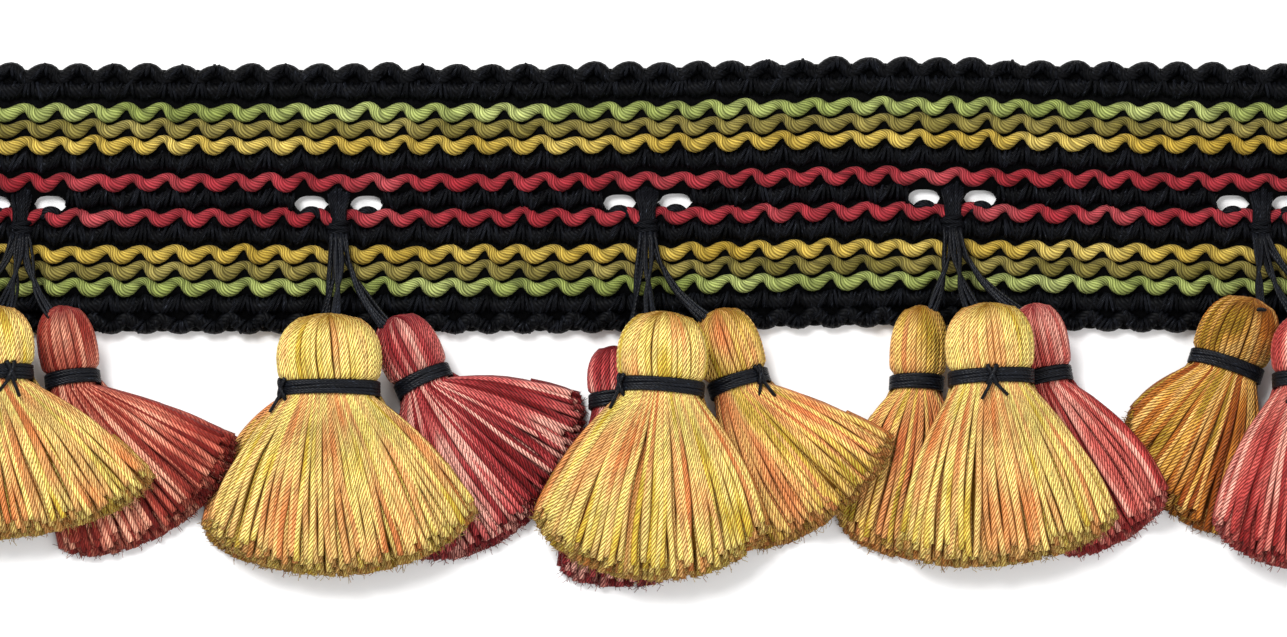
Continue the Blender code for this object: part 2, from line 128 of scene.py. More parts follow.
@dataclass
class YarnMesh:
    """Gathers swept yarns and skins, and writes them as one mesh.

    Every point carries three values that the finishes read: place, the strand's
    number in its row; tone, the strand's own chance value; and a darkening from
    0 to 1 towards the finish's deep colour, which is painted shade deep inside,
    under other strands, at cord crests and at a head's crown and neck, and a
    random darkening on black stitches and loose hem fibres.
    """

    name: str
    batches: list[tuple[np.ndarray, ...]] = field(default_factory=list)
    size: int = 0

    def add_yarns(
        self,
        path: np.ndarray,
        normal: np.ndarray,
        radius: np.ndarray | float,
        sides: int = 6,
        squash: float = 1.0,
        place: np.ndarray | float = 0.0,
        tone: np.ndarray | float = 0.5,
        depth: np.ndarray | float = 0.0,
    ) -> None:
        """Carry a round section along each path and close both ends.

        A point of the skin is path + radius * (cos(turn) * side + squash *
        sin(turn) * lift), where side is square to the path and to the normal.

        Args:
            path: Centre lines, shaped (yarns, rings, 3).
            normal: Outward direction, one for all or one at each point.
            radius: Radii, shaped to broadcast to (yarns, rings).
            sides: Corners of the round section.
            squash: Height of the section over its width.
            place: Place of each yarn in its row.
            tone: Chance value of each yarn.
            depth: How far each yarn, or each of its points, is darkened towards the
                deep colour: painted shade in most pieces, random on stitches and fibres.
        """
        yarns, rings, _ = path.shape
        along = unit(np.gradient(path, axis=1))
        side = unit(np.cross(along, normal))
        lift = np.cross(side, along)
        turn = np.linspace(0, 2 * np.pi, sides, endpoint=False)
        wide = np.broadcast_to(radius, (yarns, rings))[:, :, None, None]
        skin = path[:, :, None] + wide * (
            np.cos(turn)[:, None] * side[:, :, None]
            + squash * np.sin(turn)[:, None] * lift[:, :, None]
        )
        run = np.linalg.norm(np.diff(path, axis=1), axis=-1).cumsum(axis=1)
        run = np.concatenate([np.zeros((yarns, 1)), run], axis=1)

        number = np.arange(yarns * rings * sides).reshape(yarns, rings, sides)
        after = np.roll(number, -1, axis=2)
        walls = np.stack([number[:, :-1], number[:, 1:], after[:, 1:], after[:, :-1]], axis=-1)
        share = np.arange(sides) / sides
        around = np.stack([share, share, share + 1 / sides, share + 1 / sides], axis=-1)
        reach = np.stack([run[:, :-1], run[:, 1:], run[:, 1:], run[:, :-1]], axis=-1)
        wall_map = np.stack([np.broadcast_to(around, walls.shape),
                             np.broadcast_to(reach[:, :, None, :], walls.shape)], axis=-1)

        starts, ends = number[:, 0], number[:, -1, ::-1]
        cap_map = np.zeros((2 * yarns * sides, 2))
        cap_map[:, 0] = np.tile(share, 2 * yarns)
        cap_map[yarns * sides:, 1] = np.repeat(run[:, -1], sides)
        totals = np.repeat([4, sides], [walls.size // 4, 2 * yarns])
        flat = np.repeat([False, True], [walls.size // 4, 2 * yarns])
        values = np.empty((yarns, rings, sides, 3))
        for column, value in enumerate((place, tone, depth)):
            value = np.asarray(value, float)
            values[..., column] = value.reshape(value.shape + (1,) * (3 - value.ndim))
        self.keep(skin.reshape(-1, 3), np.concatenate([walls.ravel(), starts.ravel(), ends.ravel()]),
                  totals, np.concatenate([wall_map.reshape(-1, 2), cap_map]),
                  values.reshape(-1, 3), flat)

    def add_skin(self, rings: np.ndarray, depth: float, flip: bool = False) -> None:
        """Close a row of matching rings into one skin with flat ends.

        Args:
            rings: Points shaped (rows, points in a ring, 3).
            depth: How far the skin is darkened towards the deep colour, as painted shade.
            flip: Turn the faces over.
        """
        rows, count, _ = rings.shape
        number = np.arange(rows * count).reshape(rows, count)
        after = np.roll(number, -1, axis=1)
        walls = np.stack([number[:-1], number[1:], after[1:], after[:-1]], axis=-1)
        starts, ends = number[0], number[-1, ::-1]
        if flip:
            walls, starts, ends = walls[..., ::-1], starts[::-1], ends[::-1]
        corners = np.concatenate([walls.ravel(), starts, ends])
        points = rings.reshape(-1, 3)
        self.keep(points, corners, np.repeat([4, count], [walls.size // 4, 2]),
                  points[corners][:, :2], np.broadcast_to([0.0, 0.5, depth], points.shape),
                  np.repeat([False, True], [walls.size // 4, 2]))

    def keep(self, points: np.ndarray, corners: np.ndarray, *rest: np.ndarray) -> None:
        """Keep a batch, with its corners numbered after the points that are there."""
        self.batches.append((points, corners + self.size, *rest))
        self.size += len(points)

    def finish(self, material: bpy.types.Material, slot: str, *stands_for: str) -> bpy.types.Object:
        """Write the mesh, dress it and tie it to the frame.

        Args:
            material: The piece's material.
            slot: Not used.
            *stands_for: CAD nodes that the piece replaces.

        Returns:
            The new object.
        """
        points, corners, totals, flat_map, values, flat = (
            np.concatenate(column) for column in zip(*self.batches))
        mesh = bpy.data.meshes.new(self.name)
        mesh.vertices.add(len(points))
        mesh.vertices.foreach_set("co", (points * MM).astype(np.float32).ravel())
        mesh.loops.add(len(corners))
        mesh.loops.foreach_set("vertex_index", corners.astype(np.int32))
        mesh.polygons.add(len(totals))
        mesh.polygons.foreach_set("loop_start", (totals.cumsum() - totals).astype(np.int32))
        mesh.polygons.foreach_set("use_smooth", ~flat)
        layer = mesh.uv_layers.new(name="yarn")
        layer.data.foreach_set("uv", flat_map.astype(np.float32).ravel())
        for name, value in zip(("place", "tone", "depth"), values.T):
            attribute = mesh.attributes.new(name, "FLOAT", "POINT")
            attribute.data.foreach_set("value", value.astype(np.float32))
        mesh.materials.append(material)
        mesh.update(calc_edges=True)
        piece = bpy.data.objects.new(self.name, mesh)
        bpy.context.scene.collection.objects.link(piece)
        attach(piece, BODY)
        if stands_for:
            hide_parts(*stands_for)
        log.info("%s: %d triangles", self.name, (totals - 2).sum())
        return piece


# ---- finishes --------------------------------------------------------------


class Effect(Enum):
    """Shader groups that every yarn shares."""

    TWIST = "yarn_twist"
    DYE = "space_dye"
    HIGHLIGHT_FLECK = "painted_highlight_flecks"


@dataclass
class NodeBench:
    """Lays out nodes in one tree and joins them."""

    tree: bpy.types.NodeTree

    def wire(self, node: bpy.types.Node, inputs: dict) -> None:
        """Set or link a node's inputs.

        Args:
            node: The node.
            inputs: Values or sockets by input name or number.
        """
        for name, value in inputs.items():
            if isinstance(value, bpy.types.NodeSocket):
                self.tree.links.new(value, node.inputs[name])
            else:
                node.inputs[name].default_value = value

    def add(self, kind: str, inputs: dict, **settings: object) -> bpy.types.Node:
        """Add a node, set its properties, and set or link its inputs.

        Args:
            kind: The node's type name, without ShaderNode.
            inputs: Values or sockets by input name or number.
            **settings: Properties of the node.

        Returns:
            The node.
        """
        node = self.tree.nodes.new("ShaderNode" + kind)
        for name, value in settings.items():
            setattr(node, name, value)
        self.wire(node, inputs)
        return node

    def noise(self, detail: float, *place: object) -> bpy.types.NodeSocket:
        """Soft noise at a place given by two or three values."""
        spot = self.add("CombineXYZ", dict(enumerate(place))).outputs[0]
        return self.add("TexNoise", {"Vector": spot, "Scale": 1.0, "Detail": detail}).outputs["Fac"]

    def sum(self, kind: str, *values: object, clamp: bool = False) -> bpy.types.NodeSocket:
        """Result of a Math node of this kind over the values."""
        node = self.add("Math", dict(enumerate(values)), operation=kind, use_clamp=clamp)
        return node.outputs[0]

    def blend(self, share: object, first: object, second: object,
              kind: str = "MIX") -> bpy.types.NodeSocket:
        """Colour between two colours.

        Args:
            share: How much of the second one.
            first: Colour or socket.
            second: Colour or socket.
            kind: Way of blending.

        Returns:
            The mixed colour.
        """
        node = self.add("Mix", {0: share, 6: first, 7: second}, data_type="RGBA", blend_type=kind)
        return node.outputs[2]

    def ramp(self, share: object, stops: tuple) -> bpy.types.NodeSocket:
        """Colour of a ramp.

        Args:
            share: Place on the ramp.
            stops: Rows of place, red, green and blue.

        Returns:
            The colour.
        """
        node = self.add("ValToRGB", {0: share})
        elements = node.color_ramp.elements
        while len(elements) < len(stops):
            elements.new(1.0)
        for element, (place, *colour) in zip(elements, stops):
            element.position = place
            element.color = tint(*colour)
        return node.outputs[0]


def new_group(effect: Effect, inputs: dict[str, float], outputs: tuple[str, ...]) -> tuple:
    """Start a shader group with named values in and out.

    Args:
        effect: Which shared effect it is.
        inputs: Input names and their usual values.
        outputs: Output names.

    Returns:
        The bench, the group's given values by name, and its output node.
    """
    tree = bpy.data.node_groups.new(effect.value, "ShaderNodeTree")
    for name, value in inputs.items():
        socket = tree.interface.new_socket(name, in_out="INPUT", socket_type="NodeSocketFloat")
        socket.default_value = value
    for name in outputs:
        tree.interface.new_socket(name, in_out="OUTPUT", socket_type="NodeSocketFloat")
    given = tree.nodes.new("NodeGroupInput").outputs
    return NodeBench(tree), given, tree.nodes.new("NodeGroupOutput")


def make_twist() -> bpy.types.NodeTree:
    """Ridges of the plies that wind round a yarn, and the fibres along them.

    Ridge is half a wave that repeats Lines times round the yarn and moves once
    round it in each Pitch. Shade is a chance value of each ridge, and Phase
    turns one yarn against the next. Flank is 0 along the yarn's outer side and 1
    where it meets its neighbours, where the finishes paint shade.

    Returns:
        The group.
    """
    bench, given, made = new_group(
        Effect.TWIST, {"Around": 0.0, "Along": 0.0, "Lines": 5.0, "Pitch": 3.6, "Phase": 0.0},
        ("Ridge", "Height", "Shade", "Flank"))
    spin = bench.sum("FRACT", bench.sum("ADD", given["Around"], 0.25))
    flank = bench.sum("ABSOLUTE", bench.sum("SUBTRACT", spin, 0.5))
    turns = bench.sum("ADD", bench.sum("DIVIDE", given["Along"], given["Pitch"]), given["Phase"])
    phase = bench.sum("MULTIPLY", bench.sum("ADD", given["Around"], turns), given["Lines"])
    wave = bench.sum("SINE", bench.sum("MULTIPLY", phase, 2 * math.pi))
    ridge = bench.sum("MULTIPLY_ADD", wave, 0.5, 0.5)
    fibre = bench.noise(2.0, bench.sum("MULTIPLY", phase, 2.3),
                        bench.sum("MULTIPLY", given["Along"], 0.8))
    shade = bench.noise(1.0, bench.sum("MULTIPLY", phase, 0.9),
                        bench.sum("MULTIPLY", given["Along"], 0.35),
                        bench.sum("MULTIPLY", given["Phase"], 31.0))
    bench.wire(made, {
        "Ridge": ridge,
        "Height": bench.sum("MULTIPLY_ADD", fibre, 0.45, bench.sum("POWER", ridge, 0.6)),
        "Shade": bench.sum("MULTIPLY_ADD", shade, 2.4, -0.7, clamp=True),
        "Flank": bench.sum("MULTIPLY_ADD", flank, 6.2, -0.55, clamp=True),
    })
    return bench.tree


def make_dye() -> bpy.types.NodeTree:
    """Patches of colour that neighbouring strands share, as in a dipped hank.

    Returns:
        The group.
    """
    bench, given, made = new_group(
        Effect.DYE, {"Place": 0.0, "Along": 0.0, "Tone": 0.5, "Chance": 0.5}, ("Dye",))
    noise = bench.noise(1.5, bench.sum("MULTIPLY", given["Place"], 0.125),
                        bench.sum("MULTIPLY", given["Along"], 0.055))
    spread = bench.sum("MULTIPLY_ADD", noise, 2.1, -0.55)
    own = bench.sum("MULTIPLY", bench.sum("SUBTRACT", given["Tone"], 0.5), given["Chance"])
    bench.wire(made, {"Dye": bench.sum("ADD", spread, own, clamp=True)})
    return bench.tree


def make_highlight_fleck() -> bpy.types.NodeTree:
    """Sparse pale flecks on dark yarn: painted highlights where fibres would catch the light.

    Returns:
        The group.
    """
    bench, given, made = new_group(
        Effect.HIGHLIGHT_FLECK, {"Around": 0.0, "Along": 0.0, "Place": 0.0}, ("HighlightFleck",))
    noise = bench.noise(3.0, bench.sum("MULTIPLY", given["Around"], 9.0),
                        bench.sum("MULTIPLY", given["Along"], 0.9), given["Place"])
    bench.wire(made, {"HighlightFleck": bench.sum("MULTIPLY_ADD", noise, 6.0, -3.6, clamp=True)})
    return bench.tree


@dataclass(frozen=True)
class YarnFinish:
    """Twisted yarn: its dye, the shade painted in its grooves, on its flanks and deep inside, its
    painted highlight flecks, and how it shines.

    Colours are display colours from 0 to 255, and each dye row starts with its
    place on the ramp. Sizes are in millimetres.
    """

    name: str
    # Colour painted as shade in the ply grooves and on the flanks where strands meet.
    groove: tuple[int, int, int]
    # Colour painted as shade deep inside, under other strands, at cord crests and at a head's crown
    # and neck.
    deep: tuple[int, int, int]
    dye: tuple[tuple[float, int, int, int], ...]
    # Colour of painted highlight flecks.
    highlight_fleck: tuple[int, int, int] | None = None
    lines: float = 6.0
    pitch: float = 5.0
    chance: float = 0.62
    groove_shade_power: float = 1.5
    groove_shade_share: float = 0.9
    flank_shade_share: float = 0.85
    bump: float = 0.8
    bump_height: float = 0.2
    roughness: float = 0.5
    sheen: float = 0.02
    sheen_roughness: float = 0.4
    shine: float = 0.14
    shading: float = 0.55
    tone_range: float = 0.3

    def material(self, effects: dict[Effect, bpy.types.NodeTree]) -> bpy.types.Material:
        """Build the material.

        Args:
            effects: The shared shader groups.

        Returns:
            The material.
        """
        material = bpy.data.materials.new(self.name)
        material.use_nodes = True
        bench = NodeBench(material.node_tree)
        turn = bench.add("SeparateXYZ", {0: bench.add("UVMap", {}, uv_map="yarn").outputs[0]})
        around, along = turn.outputs[0], turn.outputs[1]
        place, tone, depth = (bench.add("Attribute", {}, attribute_name=name).outputs["Fac"]
                              for name in ("place", "tone", "depth"))
        phase = bench.sum("ADD", bench.sum("MULTIPLY", tone, 7.0),
                          bench.sum("MULTIPLY", place, 0.37))
        twist = bench.add("Group", {"Around": around, "Along": along, "Phase": phase,
                                    "Lines": self.lines, "Pitch": self.pitch},
                          node_tree=effects[Effect.TWIST]).outputs
        dye = bench.add("Group", {"Place": place, "Along": along, "Tone": tone,
                                  "Chance": self.chance}, node_tree=effects[Effect.DYE])
        colour = bench.ramp(dye.outputs["Dye"], self.dye)
        # Painted highlights: sparse pale flecks on dark yarn.
        if self.highlight_fleck:
            highlight_fleck = bench.add("Group", {"Around": around, "Along": along, "Place": place},
                              node_tree=effects[Effect.HIGHLIGHT_FLECK])
            colour = bench.blend(highlight_fleck.outputs["HighlightFleck"], colour, tint(*self.highlight_fleck))
        # Painted shade in the ply grooves and on the flanks where a strand meets its neighbours.
        groove = bench.sum("POWER", bench.sum("SUBTRACT", 1.0, twist["Ridge"]), self.groove_shade_power)
        groove = bench.sum("MAXIMUM", bench.sum("MULTIPLY", groove, self.groove_shade_share),
                           bench.sum("MULTIPLY", twist["Flank"], self.flank_shade_share))
        colour = bench.blend(groove, colour, tint(*self.groove))
        dim = bench.sum("MULTIPLY_ADD", twist["Shade"], self.shading, 1 - self.shading * 0.6)
        own = bench.sum("MULTIPLY_ADD", tone, self.tone_range, 1 - self.tone_range / 2)
        dim = bench.sum("MULTIPLY", dim, own)
        dim = bench.add("CombineColor", {0: dim, 1: dim, 2: dim}).outputs[0]
        colour = bench.blend(1.0, colour, dim, "MULTIPLY")
        bump = bench.add("Bump", {"Strength": self.bump, "Distance": self.bump_height * MM,
                                  "Height": twist["Height"]})
        # Painted shade: the colour is pulled towards the deep colour by the points' darkening value,
        # which is random on black stitches and hem fibres.
        bench.wire(material.node_tree.nodes["Principled BSDF"], {
            "Base Color": bench.blend(depth, colour, tint(*self.deep)),
            "Normal": bump.outputs[0],
            "Roughness": self.roughness,
            "Sheen Weight": self.sheen,
            "Sheen Roughness": self.sheen_roughness,
            "Specular IOR Level": self.shine,
        })
        return material


class Dye(Enum):
    """Yarns of the trim, by colour."""

    GOLD = YarnFinish(
        "gold_yarn",
        dye=((0.0, 248, 152, 92), (0.28, 255, 196, 124), (0.48, 255, 224, 138),
             (0.72, 255, 240, 138), (1.0, 208, 188, 70)),
        groove=(150, 82, 6), deep=(132, 92, 20))
    PEACH = YarnFinish(
        "peach_gold_yarn",
        dye=((0.0, 244, 138, 84), (0.32, 255, 182, 114), (0.55, 255, 216, 126),
             (0.78, 238, 204, 100), (1.0, 172, 156, 54)),
        groove=(134, 64, 6), deep=(124, 82, 18))
    AMBER = YarnFinish(
        "amber_yarn",
        dye=((0.0, 166, 82, 28), (0.35, 214, 138, 54), (0.62, 252, 206, 120),
             (0.82, 232, 176, 80), (1.0, 172, 140, 46)),
        groove=(104, 44, 4), deep=(112, 66, 16), chance=1.0)
    WINE = YarnFinish(
        "wine_yarn",
        dye=((0.0, 126, 26, 28), (0.42, 186, 66, 68), (0.7, 224, 112, 106),
             (0.88, 252, 182, 164)),
        groove=(70, 4, 8), deep=(98, 18, 24), chance=1.0)
    CORAL = YarnFinish(
        "coral_yarn",
        dye=((0.0, 154, 40, 38), (0.4, 202, 82, 76), (0.7, 232, 126, 112),
             (0.95, 255, 180, 160)),
        groove=(104, 14, 14), deep=(120, 34, 36), chance=0.9)
    ROSE = YarnFinish(
        "rose_yarn",
        dye=((0.0, 110, 26, 22), (0.35, 160, 62, 50), (0.65, 214, 124, 100),
             (0.95, 250, 182, 150)),
        groove=(120, 34, 26), deep=(108, 28, 28), chance=0.9)


CORD_LINES = {"lines": 9.0, "pitch": 5.6, "groove_shade_share": 0.62, "flank_shade_share": 0.55, "bump": 0.9,
              "bump_height": 0.18, "roughness": 0.6, "shine": 0.1, "shading": 0.85}


class Cord(Enum):
    """Cords of the heading, by colour."""

    GREEN = YarnFinish("green_cord", dye=((0.0, 120, 132, 62), (0.6, 158, 168, 96),
                                          (1.0, 186, 194, 122)),
                       groove=(60, 72, 18), deep=(30, 34, 10), **CORD_LINES)
    OLIVE = YarnFinish("olive_cord", dye=((0.0, 112, 104, 48), (0.6, 140, 128, 68),
                                          (1.0, 164, 152, 88)),
                       groove=(62, 50, 14), deep=(34, 28, 8), **CORD_LINES)
    GOLD = YarnFinish("gold_cord", dye=((0.0, 176, 146, 52), (0.6, 194, 168, 78),
                                        (1.0, 212, 190, 104)),
                      groove=(104, 74, 14), deep=(46, 36, 8), **CORD_LINES)
    RED = YarnFinish("red_cord", dye=((0.0, 138, 32, 40), (0.6, 162, 52, 60),
                                      (1.0, 186, 84, 88)),
                     groove=(84, 8, 14), deep=(36, 4, 8), **CORD_LINES)
    BLACK = YarnFinish("black_yarn", dye=((0.0, 8, 9, 12), (1.0, 26, 28, 34)),
                       groove=(2, 2, 4), deep=(1, 1, 2), highlight_fleck=(66, 70, 80),
                       lines=6.0, pitch=4.4, groove_shade_share=0.8, bump=0.8, bump_height=0.12,
                       roughness=0.5, sheen=0.0, shine=0.05)
    BINDING = YarnFinish("binding_yarn", dye=((0.0, 9, 10, 14), (1.0, 24, 27, 34)),
                         groove=(3, 3, 6), deep=(2, 2, 4), highlight_fleck=(62, 70, 84),
                         lines=5.0, pitch=3.4, groove_shade_share=0.7, bump=0.7, bump_height=0.08,
                         roughness=0.34, sheen=0.0, shine=0.13)


@dataclass
class Dresser:
    """Makes each material once and hands it out."""

    made: dict[str, bpy.types.Material] = field(default_factory=dict)

    def __post_init__(self) -> None:
        """Build the shared effects."""
        self.effects = {Effect.TWIST: make_twist(), Effect.DYE: make_dye(),
                        Effect.HIGHLIGHT_FLECK: make_highlight_fleck()}

    def material(self, yarn: Dye | Cord) -> bpy.types.Material:
        """The material of a yarn, made when it is first asked for.

        Args:
            yarn: Which yarn.

        Returns:
            The material.
        """
        finish = yarn.value
        if finish.name not in self.made:
            self.made[finish.name] = finish.material(self.effects)
        return self.made[finish.name]


# ---- heading ---------------------------------------------------------------


@dataclass(frozen=True)
class Row:
    """One row of the heading: a wavy cord at its level.

    crest is the x of one of its crests. swing is how far the wave goes to each
    side and dive how much lower its crests lie; round_off and skew shape the
    bends.
    """

    name: str
    cord: Cord
    level: float
    crest: float
    radius: float = 0.97
    swing: float = 0.7
    height: float = 1.75
    dive: float = 0.36
    round_off: float = 0.012
    skew: float = 0.03
    domed: bool = False           # the crests are domes with creases between


COLOURED_ROWS = (
    Row("green_row_upper", Cord.GREEN, 14.6, -0.36),
    Row("olive_row_upper", Cord.OLIVE, 11.9, -0.1),
    Row("gold_row_upper", Cord.GOLD, 9.1, 0.05),
    Row("red_row_upper", Cord.RED, 2.9, 0.6),
    Row("red_row_lower", Cord.RED, -3.0, 2.80),
    Row("gold_row_lower", Cord.GOLD, -9.1, 1.97),
    Row("olive_row_lower", Cord.OLIVE, -11.85, 2.14),
    Row("green_row_lower", Cord.GREEN, -14.6, 2.54),
)
BLACK_ROWS = (
    Row("black_row_top", Cord.BLACK, 20.55, 3.22, 1.2, 0.9, domed=True),
    Row("black_row_second", Cord.BLACK, 18.2, 0.4, 1.3, 0.25),
    Row("black_row_above_red", Cord.BLACK, 6.1, 0.3, 1.2, 0.4),
    Row("black_row_between_reds", Cord.BLACK, 0.0, 1.7, 1.1, 0.4),
    Row("black_row_below_red", Cord.BLACK, -6.0, 2.4, 1.2, 0.4),
    Row("black_row_above_fringe", Cord.BLACK, -17.8, 2.5, 1.3, 0.25),
    Row("black_row_foot", Cord.BLACK, -20.6, 2.8, 1.2, -0.85, domed=True),
)
WANDER = ((0.08, 7.3), (0.08, 3.1), (0.07, 1.7))    # how far a cord strays, and over what length


@dataclass
class Heading:
    """The crocheted band: black ground, wavy cords and black stitches.

    Stitches, bar yarns and bumps are given by their radius, in millimetres.
    """

    dresser: Dresser
    thick: float = 1.5
    lift: float = 0.05            # of the ground off the table
    top: float = 21.0
    foot: float = -21.6
    scallop: float = 0.6
    ground_rings: int = 520
    rings_per_wave: int = 18
    core_rings_per_wave: int = 10
    core_drop: float = 0.3
    # Painted shade on a black row's core, under its stitches.
    core_shade: float = 0.75
    cord_sides: int = 10
    crest_thinner: float = 0.19   # share by which a cord thins at its crests
    # Painted shade at a cord's crests, where it dives down.
    crest_shade: float = 0.07
    stitches_per_wave: int = 8
    stitch: float = 0.33
    stitch_lean: float = 0.25
    stitch_splay: float = 0.6     # how far stitches lean towards their wave's crest
    stitch_reach: float = 1.4
    edge_stitch_reach: float = 0.8
    stitch_lift: float = 0.95     # of a stitch's middle over its row
    stitch_arch: float = 0.75     # how far its ends drop
    uneven: float = 0.12
    bar_yarns: int = 9
    bar_yarn: float = 0.4
    bar_waist: float = 0.42       # share by which a bar draws in
    bar_flare: float = 0.16       # share by which its foot spreads again
    bar_level: float = 1.2
    bar_rise: float = 2.2
    bar_round: float = 0.6
    bar_foot: float = -7.0
    bar_top: float = 1.9
    wrap_levels: tuple[float, ...] = (-4.2, -4.9, -5.6, -6.3)
    wrap_slopes: tuple[float, ...] = (0.12, -0.1, 0.16, -0.08)
    wrap_wide: tuple[float, ...] = (1.45, 1.7, 1.75, 1.6)
    bump: float = 0.8
    chance: np.random.Generator = field(default_factory=lambda: np.random.default_rng(11))

    def build(self) -> None:
        """Build the ground, every row and the bars between the eyelets."""
        ground = self.ground()
        rows = [self.cord_row(row) for row in COLOURED_ROWS]
        rows += [self.stitch_row(row) for row in BLACK_ROWS]
        rows += [self.bar(cluster) for cluster in range(CLUSTERS)]
        self.top * MM - self.foot * MM

    def finish(self, mesh: YarnMesh, cord: Cord, slot: str = "heading_cloth",
               *stands_for: str) -> bpy.types.Object:
        """Dress a piece of the heading and write it."""
        return mesh.finish(self.dresser.material(cord), slot, *stands_for)

    def ground(self) -> bpy.types.Object:
        """Two strips of cloth that meet between the rows and part at each eyelet.

        A strip is a flat rounded section carried along x, and its two edges are
        curves of x: a scalloped long edge, and a line that opens as a rounded
        arch, half high * (1 - reach^3)^0.5, at an eyelet.

        Returns:
            The cloth.
        """
        mesh = YarnMesh("heading_ground")
        x = np.linspace(-LENGTH / 2, LENGTH / 2, self.ground_rings)
        scallop = self.scallop * (2 * np.abs(np.cos(np.pi * x / WAVE)) - 1)
        opening = np.zeros_like(x)
        for cluster in range(CLUSTERS):
            for side in (-1, 1):
                reach = np.abs(x - (bar_x(cluster) + side * EYELET_STEP)) / (EYELET_LONG / 2)
                opening += EYELET_HIGH / 2 * np.clip(1 - reach ** 3, 0, 1) ** 0.5
        middle = EYELET_LIFT + bow(x)
        strips = ((self.foot - scallop + bow(x), middle - opening),
                  (middle + opening, self.top + scallop + bow(x)))
        share = np.array([0.0, 0.02, 0.98, 1.0, 1.0, 0.98, 0.02, 0.0])
        level = np.array([0.25, 0.0, 0.0, 0.25, 0.75, 1.0, 1.0, 0.75]) * self.thick
        for low, high in strips:
            rings = np.empty((len(x), len(share), 3))
            rings[..., 0] = x[:, None]
            rings[..., 1] = low[:, None] + (high - low)[:, None] * share
            rings[..., 2] = level + self.lift
            # The black ground is darkened near to pure black: partly its own black, partly painted
            # shade in the gaps between the rows.
            mesh.add_skin(rings, depth=0.9)
        return self.finish(mesh, Cord.BLACK, "heading_cloth", "heading")

    def wave_path(self, row: Row, start: float, end: float, rings_per_wave: int,
                  rise: float = 0.0) -> np.ndarray:
        """Centre line of a wavy yarn.

        y is level + swing * cos(phase) and z is height - dive * cos(phase). x is
        drawn towards the crests, which rounds the bends, and the crests lean to
        the right.

        Args:
            row: The row that the yarn belongs to.
            start: First x.
            end: Last x.
            rings_per_wave: Points along one wave.
            rise: Extra height.

        Returns:
            Points shaped (1, rings, 3).
        """
        rings = max(6, int((end - start) / WAVE * rings_per_wave))
        t = np.linspace(start, end, rings)
        phase = 2 * np.pi * (t - row.crest) / WAVE
        drift = self.chance.uniform(0, 6, len(WANDER))
        wander = sum(size * np.sin(t / length + start)
                     for (size, length), start in zip(WANDER, drift))
        x = t + WAVE * (row.round_off * np.sin(2 * phase) + row.skew * np.cos(phase))
        swing = row.swing + wander * np.sign(row.swing)
        y = row.level + bow(x) + swing * self.crest_of(row, t) + 0.8 * wander
        z = row.height + rise - row.dive * np.cos(phase)
        return np.stack([x, y, z], axis=-1)[None]

    @staticmethod
    def crest_of(row: Row, x: np.ndarray) -> np.ndarray:
        """Shape of the row's wave at x: 1 at a crest and -1 between crests."""
        phase = 2 * np.pi * (x - row.crest) / WAVE
        return 2 * np.abs(np.cos(phase / 2)) - 1 if row.domed else np.cos(phase)

    def cord_row(self, row: Row) -> bpy.types.Object:
        """A coloured cord that waves along the heading.

        Args:
            row: Its place and colour.

        Returns:
            The cord.
        """
        mesh = YarnMesh(row.name)
        path = self.wave_path(row, -ROW_END, ROW_END, self.rings_per_wave)
        height = (path[..., 1] - row.level - bow(path[..., 0])) / row.swing
        swell = 1 + 0.05 * np.sin(path[..., 0] / 2.3 + row.level) - self.crest_thinner * height
        # Painted shade: the cord darkens towards its crests, where it dives down.
        mesh.add_yarns(path, UP, row.radius * swell, self.cord_sides,
                       place=row.level * 3.1, depth=self.crest_shade * np.clip(1 + height, 0, 2))
        return self.finish(mesh, row.cord)

    @staticmethod
    def stretches(row: Row) -> list[tuple[float, float]]:
        """Ranges of x that a black row covers: the one between the reds stops at the eyelets.

        Args:
            row: The row.

        Returns:
            Start and end of each range.
        """
        if row.level != 0.0:
            return [(-ROW_END, ROW_END)]
        clear = BAR_WIDE / 2 + EYELET_LONG
        starts = [-ROW_END] + [bar_x(cluster) + clear for cluster in range(CLUSTERS)]
        ends = [bar_x(cluster) - clear for cluster in range(CLUSTERS)] + [ROW_END]
        return list(zip(starts, ends))

    def stitch_row(self, row: Row) -> bpy.types.Object:
        """A black row: a thick core with short splayed stitches over it.

        A stitch leans towards its wave's crest and arches over the core: x moves
        by lean * s, y by reach * s and z drops by arch * s^2, for s from -1 to 1.

        Args:
            row: Its place.

        Returns:
            The row.
        """
        mesh = YarnMesh(row.name)
        for start, end in self.stretches(row):
            core = self.wave_path(row, start, end, self.core_rings_per_wave, -self.core_drop)
            # Painted shade on the core under the stitches; the stitches themselves get a random
            # darkening.
            mesh.add_yarns(core, UP, row.radius, 8, place=row.level, depth=self.core_shade)
            count = int((end - start) / WAVE * self.stitches_per_wave)
            x = np.linspace(start + 0.5, end - 0.5, count)[:, None]
            x = x + jitter(self.chance, 0.13, count)
            phase = 2 * np.pi * (x - row.crest) / WAVE
            share = np.linspace(-1, 1, 5)[None]
            lean = self.stitch_lean - self.stitch_splay * np.sin(phase)
            lean = lean + jitter(self.chance, self.uneven, count)
            reach = self.edge_stitch_reach if row.domed else self.stitch_reach
            y = row.level + bow(x) + row.swing * self.crest_of(row, x)
            y = y + reach * share + jitter(self.chance, self.uneven, count)
            z = row.height + self.stitch_lift - self.stitch_arch * share ** 2
            z = z + jitter(self.chance, 0.07, count)
            path = np.stack(np.broadcast_arrays(x + lean * share, y, z), axis=-1)
            mesh.add_yarns(path, UP, self.stitch, 5, place=row.level + np.arange(count) * 0.7,
                           tone=self.chance.random(count), depth=0.7 * self.chance.random(count))
        return self.finish(mesh, row.cord)

